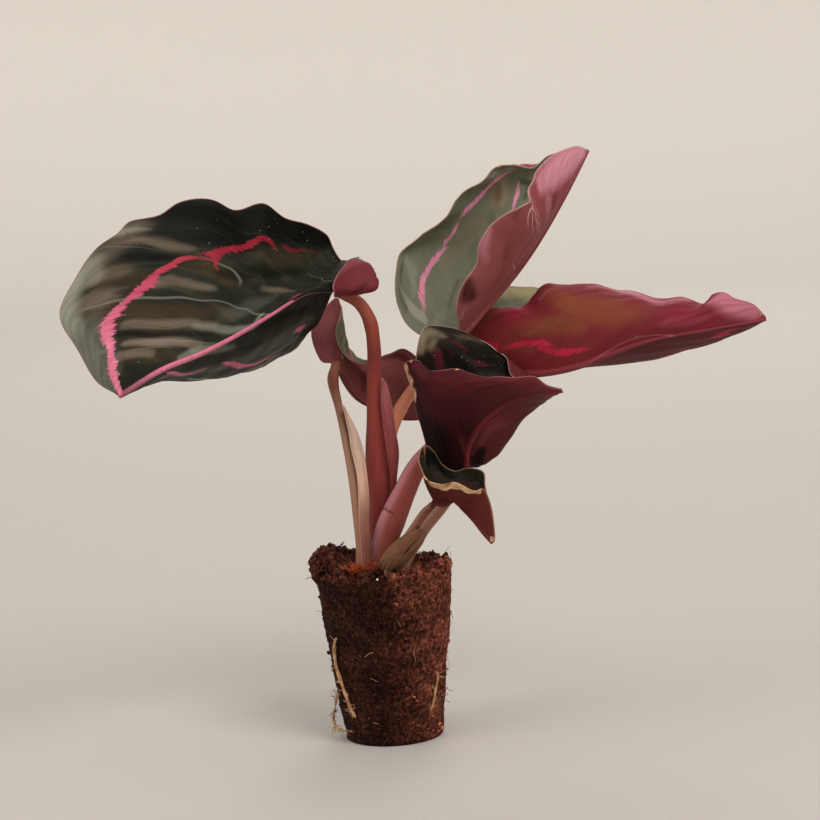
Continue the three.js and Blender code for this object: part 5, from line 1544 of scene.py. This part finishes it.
class Paint:
    """A material under construction."""

    def __init__(self, name):
        self.material = bpy.data.materials.new(name)
        self.material.use_nodes = True
        self.tree = self.material.node_tree
        self.tree.nodes.clear()

    def node(self, kind, settings=None, inputs=None, output=0):
        """Adds a node with its settings and what its sockets get, and gives an output."""
        made = self.tree.nodes.new("ShaderNode" + kind)
        for key, value in (settings or {}).items():
            if key == "stops":
                ramp = made.color_ramp
                while len(ramp.elements) < len(value):
                    ramp.elements.new(1)
                for element, (place, colour) in zip(ramp.elements, value):
                    element.position = place
                    element.color = (*colour, 1)
            else:
                setattr(made, key, value)
        for key, value in (inputs or {}).items():
            socket = made.inputs[key]
            if isinstance(value, Value):
                self.tree.links.new(value.socket, socket)
            elif isinstance(value, tuple) and len(socket.default_value) == 4:
                socket.default_value = (*value, 1)
            else:
                socket.default_value = value
        return Value(self, made.outputs[output])

    def fact(self, name):
        """The three numbers of a fact about the piece's points."""
        return self.split(self.node("Attribute", {"attribute_name": name}, output="Vector"))

    def split(self, vector):
        first = self.node("SeparateXYZ", inputs={0: vector})
        made = first.socket.node
        return [Value(self, made.outputs[axis]) for axis in range(3)]

    def place(self):
        return self.node("TexCoord", output="Object")

    def point(self, x, y, z):
        return self.node("CombineXYZ", inputs={0: x, 1: y, 2: z})

    def cloud(self, vector, scale=1.0, detail=2.0, rough=0.5):
        """Soft noise around 0.5."""
        inputs = {"Vector": vector, "Scale": scale, "Detail": detail, "Roughness": rough}
        return self.node("TexNoise", inputs=inputs)

    def cells(self, vector, scale):
        """Distance from the middle of the nearest of scattered cells."""
        return self.node("TexVoronoi", inputs={"Vector": vector, "Scale": scale})

    def mix(self, share, first, second):
        """The first colour, with this share of the second."""
        settings = {"data_type": "RGBA", "clamp_factor": True}
        return self.node("Mix", settings, {0: share, 6: first, 7: second}, output=2)

    def ramp(self, share, stops):
        return self.node("ValToRGB", {"stops": stops}, {0: share})

    def shade(self, colour, strength):
        """The colour, brighter or darker."""
        return self.node("VectorMath", {"operation": "SCALE"}, {0: colour, "Scale": strength})

    def finish(self, colour, roughness, height=None, depth=0.0, **constants):
        """The shader, with bumps of this depth in metres."""
        inputs = {"Base Color": colour, "Roughness": roughness}
        if height is not None:
            bumps = {"Strength": 1, "Distance": depth, "Height": height}
            inputs["Normal"] = self.node("Bump", inputs=bumps)
        inputs.update({key.replace("_", " "): value for key, value in constants.items()})
        surface = self.node("BsdfPrincipled", inputs=inputs)
        output = self.tree.nodes.new("ShaderNodeOutputMaterial")
        self.tree.links.new(surface.socket, output.inputs["Surface"])
        return self.material


# Dried patches: tan in the middle, as (noise, colour), and brown about it. Then the pale dust on
# the green faces and the scars of the stalks.
DRY_TAN = [(0.3, (0.14, 0.05, 0.022)), (0.45, (0.4, 0.21, 0.11)), (0.65, (0.62, 0.42, 0.26))]
DRY_BROWN = (0.09, 0.035, 0.018)
DUST = (0.4, 0.42, 0.4)
SCAR = (0.03, 0.006, 0.006)


def rose(p, strand, share, length, out, seed, blur):
    """The jagged rose ring: its mask, and noise that runs along the veins."""
    distance, half, strength = p.fact("ring")
    teeth = p.cloud(p.point(strand * 110, share * 6, seed), detail=3, rough=0.75)
    bays = p.cloud(p.point(strand * 32, share * 5, seed + 4), detail=2)
    specks = p.cloud(p.point(length * 1.9, out * 1.9, seed + 8), detail=4, rough=0.8)
    swing = 0.4 + 0.6 * half.rise(0.4, 1.1)
    off = abs(distance + ((teeth - 0.5) * 3 + (bays - 0.5) * 1.6) * swing)
    room = half * (0.2 + 1.1 * bays + 0.5 * teeth) - off + (specks - 0.5) * (1.3 + 0.7 * half)
    return room.rise(-blur, blur) * strength, bays * 0.5 + teeth * 0.25 + specks * 0.25


class BladePaint:
    """What a blade's two materials share: where a point lies, noise along the veins, and marks."""

    def __init__(self, name, side, tones, kinds):
        self.paint = p = Paint(f"{name}_{side}")
        self.tones, self.kinds = tones, kinds
        seed = 10.0 * list(LEAVES).index(name) + (0 if side == "green" else 5)
        self.u, self.v, strand = p.fact("span")
        self.length, self.out, self.edge = p.fact("reach")
        self.dry, self.rib, last = p.fact("dry")
        self.fields = [*p.fact("patch"), last]
        share = abs(self.v)
        self.share, self.strand = share, strand
        self.broad = p.cloud(p.point(strand * 5.5, share * 1.4, seed), detail=2)
        self.bands = p.cloud(p.point(strand * 17, share * 2.2, seed + 2), detail=3, rough=0.6)
        self.fine = p.cloud(p.point(strand * 120, share * 7, seed + 5), detail=3, rough=0.65)
        blur = 0.08 if side == "green" else 0.3
        self.ring, self.teeth = rose(p, strand, share, self.length, self.out, seed, blur)

    def patched(self, colour):
        """The colour under the drawn patches, with edges that run along the veins."""
        ragged = 1 + (self.bands * 0.7 + self.fine * 0.15 - 0.425) * 2
        for kind, field in zip(self.kinds, self.fields):
            colour = self.paint.mix(field * ragged, colour, self.tones[kind])
        return colour

    def lined(self, colour, strength):
        """The colour under the drawn thin lines."""
        distance, half, bright = self.paint.fact("line")
        inside = (half * (0.75 + 0.5 * self.fine) - abs(distance)).rise(-0.1, 0.08)
        return self.paint.mix(inside * bright * strength, colour, self.tones["line"])

    def veined(self, width, most):
        """1 on the side veins, fading towards the margin."""
        lines = 1 - self.strand.reckon("PINGPONG", 0.5 / VEINS).rise(0, width / VEINS)
        return lines * self.share.rise(0.02, 0.12) * (1 - self.share.rise(0.8, 1)) * most

    def dried(self, colour):
        """The colour under tan and brown patches where the blade has dried."""
        p = self.paint
        grain = p.cloud(p.point(self.length * 0.9, self.out * 0.9, 3.0), detail=4, rough=0.7)
        dryness = self.dry + (grain - 0.5) * 0.7
        parched = dryness.rise(0.35, 0.6)
        tan = p.ramp(grain, DRY_TAN)
        colour = p.mix(dryness.rise(0.18, 0.4) * 0.6, colour, DRY_BROWN)
        return p.mix(parched, colour, tan), parched


def brighter(colour, gain):
    return tuple(min(1.0, gain * part) for part in colour)


def green_face(name):
    """The upper side: bands of dark green and olive along the veins, the rose ring and midrib."""
    tones = UPPER_TONES[name]
    face = BladePaint(name, "green", tones, UPPER_KINDS)
    p, u, share, bands, fine = face.paint, face.u, face.share, face.bands, face.fine
    level = face.broad * 0.5 + bands * 0.5
    own = OWN_STREAKS[name]
    colour = p.mix(level.rise(0.52, 0.38) * own, tones["ground"], tones["low"])
    colour = p.mix(level.rise(0.5, 0.64) * own, colour, tones["high"])
    inner = share.rise(0.1, 0.3) * (1 - share.rise(0.7, 0.92))
    streaks = (bands * 0.6 + face.broad * 0.25 + fine * 0.15).rise(0.47, 0.58)
    colour = p.mix(streaks * inner * own, colour, tones["olive"])
    colour = p.mix(fine.rise(0.5, 0.8) * 0.25, colour, tones["high"])
    # The drawn patches lay a painted sheen and painted shade on the blade's own colours.
    colour = face.patched(colour)
    veins = face.veined(0.06, 0.05)
    colour = p.mix(veins, colour, tones["line"])
    colour = face.lined(colour, 0.6)
    far = 1 - face.v.rise(-0.05, 0.05)
    # On the left leaf the ring is paler on the far half and towards the tip, as a painted sheen.
    pink = p.shade(p.ramp(u + far * PALER_FAR[name], tones["rose"]), 0.1 + 1.8 * face.teeth)
    colour = p.mix(face.ring, colour, pink)
    along_rib = p.cloud(p.point(face.length * 1.5, face.out * 2, 1.0))
    stripe = p.shade(p.ramp(0.87 + 0.05 * u, tones["rose"]), 0.6 + 0.9 * along_rib)
    middle = 1 - (face.out - 0.5 - 0.25 * u.rise(0.15, 0.6)).rise(-0.2, 0.2)
    colour = p.mix(middle * (0.95 - 0.5 * u.rise(0.8, 0.97)), colour, stripe)
    rim = 1 - face.edge.rise(0.08, 0.3)
    colour = p.mix(rim * 0.8, colour, UPPER_RIMS[name])
    place = p.place()
    dust = (1 - p.cells(place, 520).rise(0.05, 0.09)) * p.cloud(place, 60).rise(0.5, 0.6)
    colour = p.mix(dust * 0.5, colour, DUST)
    colour, parched = face.dried(colour)
    height = fine * 0.35 + bands * 0.3 - veins + parched * 0.5
    roughness = 0.42 + bands * 0.14 + parched * 0.3
    return p.finish(colour, roughness, height, 0.00014, Specular_IOR_Level=0.05)


def wine_face(name):
    """The lower side: wine red, with the ring showing through as painted light through the blade, and
    a paler margin.
    """
    tones = UNDER_TONES[name]
    face = BladePaint(name, "wine", tones, UNDER_KINDS)
    p, u, bands, fine = face.paint, face.u, face.bands, face.fine
    colour = p.mix(face.v.rise(-0.03, 0.03), p.ramp(u, tones["far"]), p.ramp(u, tones["near"]))
    # The drawn patches lay painted highlights, painted light through the blade and painted shade on it.
    colour = face.patched(colour)
    # The ring seen from below is painted light shining through the blade.
    red = p.shade(tones["ring"], 0.3 + 1.4 * face.teeth)
    colour = p.mix(face.ring * tones["shows"] * face.teeth.rise(0.25, 0.55), colour, red)
    colour = p.shade(colour, 0.72 + 0.24 * bands + 0.18 * face.broad + 0.14 * fine)
    veins = face.veined(0.05, 0.035)
    colour = p.mix(veins, colour, tones["line"])
    colour = face.lined(colour, 0.65)
    middle = 1 - (face.out - face.rib * 0.9).rise(-0.2, 0.2)
    colour = p.mix(middle * 0.5, colour, tones["rib"])
    rim = 1 - face.edge.rise(0.1, 0.42)
    colour = p.mix(rim * 0.8, colour, tones["margin"])
    colour, parched = face.dried(colour)
    height = fine * 0.4 + bands * 0.2 + veins * 2 + parched * 0.5
    roughness = 0.45 + bands * 0.14 + parched * 0.3
    return p.finish(colour, roughness, height, 0.00011, Specular_IOR_Level=0.06)


def stalk_skin(name):
    """A stalk: streaked along its length, and lighter on its left."""
    p = Paint(f"{name}_stalk_skin")
    seed = 7.0 * list(BARK).index(name)
    t, c, s = p.fact("span")
    streaks = p.cloud(p.point(c * 7, s * 7, t * 2.4 + seed), detail=4, rough=0.65)
    blotches = p.cloud(p.point(c * 1.5, s * 1.5, t * 9 + seed), detail=3)
    lit = (0 - c).rise(0.1, 0.95) * (0.4 + 0.6 * blotches)
    colour = p.mix(lit, p.ramp(t, BARK[name]), LIT_SIDES[name])
    colour = p.shade(colour, 0.5 + 0.6 * streaks + 0.4 * blotches)
    colour = p.mix(streaks.rise(0.58, 0.75) * 0.25, colour, p.shade(colour, 1.6))
    if name in SCARS:
        place, width, most = SCARS[name]
        uneven = p.cloud(p.point(c * 1.2, s * 1.2, seed), detail=2)
        scar = 1 - abs(t - place + (uneven - 0.5) * 0.03).rise(0.2 * width, width)
        colour = p.mix(scar * most * (0 - c).rise(-0.2, 0.4), colour, SCAR)
    height = streaks * 0.8 + blotches * 0.2
    return p.finish(colour, 0.4 + 0.2 * streaks, height, 0.00018, Specular_IOR_Level=0.14)


def sheath_skin(name):
    """A dry sheath: papery, with darker lines along it and paler margins."""
    p = Paint(f"{name}_sheath_skin")
    u, q, _ = p.fact("span")
    streaks = p.cloud(p.point(q * 14, u * 1.6, 2.0), detail=4, rough=0.7)
    blotches = p.cloud(p.point(q * 3, u * 7, 5.0), detail=3)
    colour = p.ramp(u, HUSKS[name]["along"])
    colour = p.shade(colour, 0.4 + 0.7 * streaks + 0.5 * blotches)
    lines = streaks.rise(0.47, 0.38)
    colour = p.mix(lines * HUSKS[name]["ridges"], colour, HUSKS[name]["dark"])
    sides = abs(q * 2 - 1).rise(0.86, 1)
    colour = p.mix(sides * 0.4, colour, HUSKS[name]["margin"])
    return p.finish(colour, 0.5 + 0.25 * streaks, streaks, 0.0003, Specular_IOR_Level=0.15)


# Peat from its darkest crumbs to its palest, as (noise, colour), painted shade for its pores, and
# its specks.
PEAT = [
    (0.38, (0.007, 0.002, 0.0012)), (0.48, (0.028, 0.0075, 0.0045)), (0.58, (0.085, 0.025, 0.014)),
    (0.7, (0.2, 0.075, 0.045)),
]
PEAT_PORE_SHADE = (0.006, 0.002, 0.0015)
PEAT_SPECK = (0.26, 0.12, 0.07)


def peat(name, tone):
    """Dark peat: fine crumbs from near black to red-brown, pores in painted shade, lighter specks,
    and painted light that brightens it towards the right and the front.
    """
    p = Paint(name)
    at = p.place()
    coarse = p.cloud(at, 170, 2, 0.5)
    grain = p.cloud(at, 950, 4, 0.78)
    pores = p.cells(at, 640)
    stops = [(place, brighter(colour, tone)) for place, colour in PEAT]
    colour = p.ramp(coarse * 0.25 + grain * 0.75, stops)
    x, y, _ = p.split(at)
    # Painted light and shade: darker on the left, much brighter towards the right and the front.
    colour = p.shade(colour, 0.6 + 6.2 * (x - y * 0.4).rise(0.004, 0.03))
    shaded_holes = 1 - pores.rise(0.1, 0.26)
    # The pores are darkened with painted shade.
    colour = p.mix(shaded_holes * 0.7, colour, PEAT_PORE_SHADE)
    specks = p.cloud(at, 2600, 1).rise(0.7, 0.76)
    colour = p.mix(specks * 0.45, colour, PEAT_SPECK)
    height = grain * 0.6 - shaded_holes * 0.6
    return p.finish(colour, 0.85 + 0.1 * grain, height, 0.001, Specular_IOR_Level=0.08)


def plain(name, dark, light):
    """A thin dry thing in two mixed tones."""
    p = Paint(name)
    grain = p.cloud(p.place(), 500, 3, 0.6)
    colour = p.mix(grain.rise(0.35, 0.65), dark, light)
    return p.finish(colour, 0.6 + 0.2 * grain, grain, 0.0002, Specular_IOR_Level=0.2)


# How much a green face is streaked beside its drawn patches.
OWN_STREAKS = {"left": 0.3, "upper": 0.3, "right": 0.6, "funnel": 0.4, "back": 0.8, "small": 0.4}
# How much further along its colours the ring is on the far half, which paints a sheen on it.
PALER_FAR = {"left": 0.6, "upper": 0, "right": 0, "funnel": 0, "back": 0, "small": 0}
# The thin margin of a green face.
UPPER_RIMS = {
    "left": (0.3, 0.13, 0.12), "upper": (0.36, 0.22, 0.17), "right": (0.3, 0.14, 0.1),
    "funnel": (0.42, 0.3, 0.22), "back": (0.34, 0.2, 0.15), "small": (0.3, 0.19, 0.1),
}
# Old leaf scars and joints on stalks: where, half width along it, and how dark.
SCARS = {"right": (0.36, 0.008, 0.6), "left": (0.79, 0.005, 0.3)}
# Colours of the sheaths: along each from its upper end, its dark lines and how strong they are,
# and its margins.
HUSKS = {
    "left": {
        "along": [(0, (0.42, 0.14, 0.14)), (0.3, (0.34, 0.085, 0.085)), (0.7, (0.23, 0.042, 0.037)),
                  (1, (0.19, 0.03, 0.027))],
        "dark": (0.09, 0.014, 0.013), "ridges": 0.35, "margin": (0.26, 0.07, 0.065),
    },
    "back": {
        "along": [(0, (0.6, 0.36, 0.25)), (0.2, (0.58, 0.42, 0.34)), (0.45, (0.7, 0.45, 0.33)),
                  (0.65, (0.38, 0.18, 0.13)), (0.85, (0.25, 0.085, 0.06)), (1, (0.22, 0.06, 0.04))],
        "dark": (0.34, 0.18, 0.11), "ridges": 0.4, "margin": (0.7, 0.48, 0.36),
    },
    "front": {
        "along": [(0, (0.24, 0.1, 0.055)), (0.5, (0.19, 0.085, 0.045)), (1, (0.13, 0.055, 0.03))],
        "dark": (0.035, 0.012, 0.006), "ridges": 0.85, "margin": (0.2, 0.11, 0.06),
    },
}


# The plant.

for name in LEAVES:
    blade(name)
for name in STALKS:
    stalk(name)
for name in SHEATHS:
    sheath(name)
plug()
for name in ROOTS:
    root(name)
crown_fringe()


# Floor, light and camera.

# The floor in metres: the radius of its flat part, the curve up to its wall, the wall and its
# height, and how far the floor lies below the plant's foot.
FLOOR = {"flat": 1.1, "curve": 0.5, "wall": 1.62, "height": 1.5, "below": 0.0002}
FLOOR_STEPS = 96
# Painted shade on the floor and painted light up the wall: paler with height and further back.
SHADED_FLOOR = (0.47, 0.44, 0.41)
LIT_WALL = (0.84, 0.8, 0.75)


def studio():
    """A round pale floor that rises into a wall all about."""
    flat, curve = FLOOR["flat"], FLOOR["curve"]
    profile = [(0, 0), (0.5, 0), (flat, 0)]
    for turn in np.linspace(0.1, 1.5, 14):
        profile.append((flat + curve * math.sin(turn), curve - curve * math.cos(turn)))
    profile += [(FLOOR["wall"], 1.1), (FLOOR["wall"], FLOOR["height"])]
    profile = [(r, z - FLOOR["below"]) for r, z in profile]
    shape = lathe(profile, FLOOR_STEPS, 1e-5)
    bmesh.ops.reverse_faces(shape, faces=shape.faces[:])
    mesh = mesh_from(shape)
    mesh.polygons.foreach_set("use_smooth", [True] * len(mesh.polygons))
    floor = bpy.data.objects.new("floor", mesh)
    bpy.context.scene.collection.objects.link(floor)
    p = Paint("floor")
    _, y, z = p.split(p.place())
    # Painted shade low down, painted light higher up and further back.
    colour = p.mix((z + y * 0.25).rise(0, 0.6), SHADED_FLOOR, LIT_WALL)
    mesh.materials.append(p.finish(colour, 0.9, Specular_IOR_Level=0.1))


AIM = Vector((0.01, 0, 0.08))


def lamp(name, place, size, power, colour):
    """A soft round lamp that looks at the plant."""
    light = bpy.data.lights.new(name, "AREA")
    light.shape = "DISK"
    light.size = size
    light.energy = power
    light.color = colour
    thing = bpy.data.objects.new(name, light)
    thing.location = place
    thing.rotation_mode = "QUATERNION"
    thing.rotation_quaternion = (AIM - Vector(place)).to_track_quat("-Z", "Y")
    bpy.context.scene.collection.objects.link(thing)


studio()
lamp("key", (0.55, -0.75, 0.95), 0.7, 9, (1, 0.97, 0.93))
lamp("fill", (-0.9, -0.45, 0.55), 0.9, 4, (1, 0.98, 0.96))
lamp("back", (0.2, 0.9, 0.9), 0.6, 4, (1, 0.98, 0.95))
world = bpy.data.worlds.new("studio")
world.use_nodes = True
sky = world.node_tree.nodes["Background"]
sky.inputs["Color"].default_value = (1, 0.985, 0.97, 1)
sky.inputs["Strength"].default_value = 0.75
scene = bpy.context.scene
scene.world = world
scene.view_settings.view_transform = "Standard"

# The camera looks down by its tilt, and is turned a little about its own line of sight.
TILT = math.radians(8)
ROLL = math.radians(3.7)
CAMERA_AT = Vector((8.885, -643.674, 170.977)) * MM
forward = Vector((0, math.cos(TILT), -math.sin(TILT)))
level, upright = Vector((1, 0, 0)), Vector((0, math.sin(TILT), math.cos(TILT)))
right = level * math.cos(ROLL) - upright * math.sin(ROLL)
above = upright * math.cos(ROLL) + level * math.sin(ROLL)
lens = bpy.data.cameras.new("camera")
lens.lens = 117
lens.sensor_width = 36
lens.clip_start = 0.05
camera = bpy.data.objects.new("camera", lens)
camera.matrix_world = Matrix((right, above, -forward)).transposed().to_4x4()
camera.location = CAMERA_AT
scene.collection.objects.link(camera)
scene.camera = camera
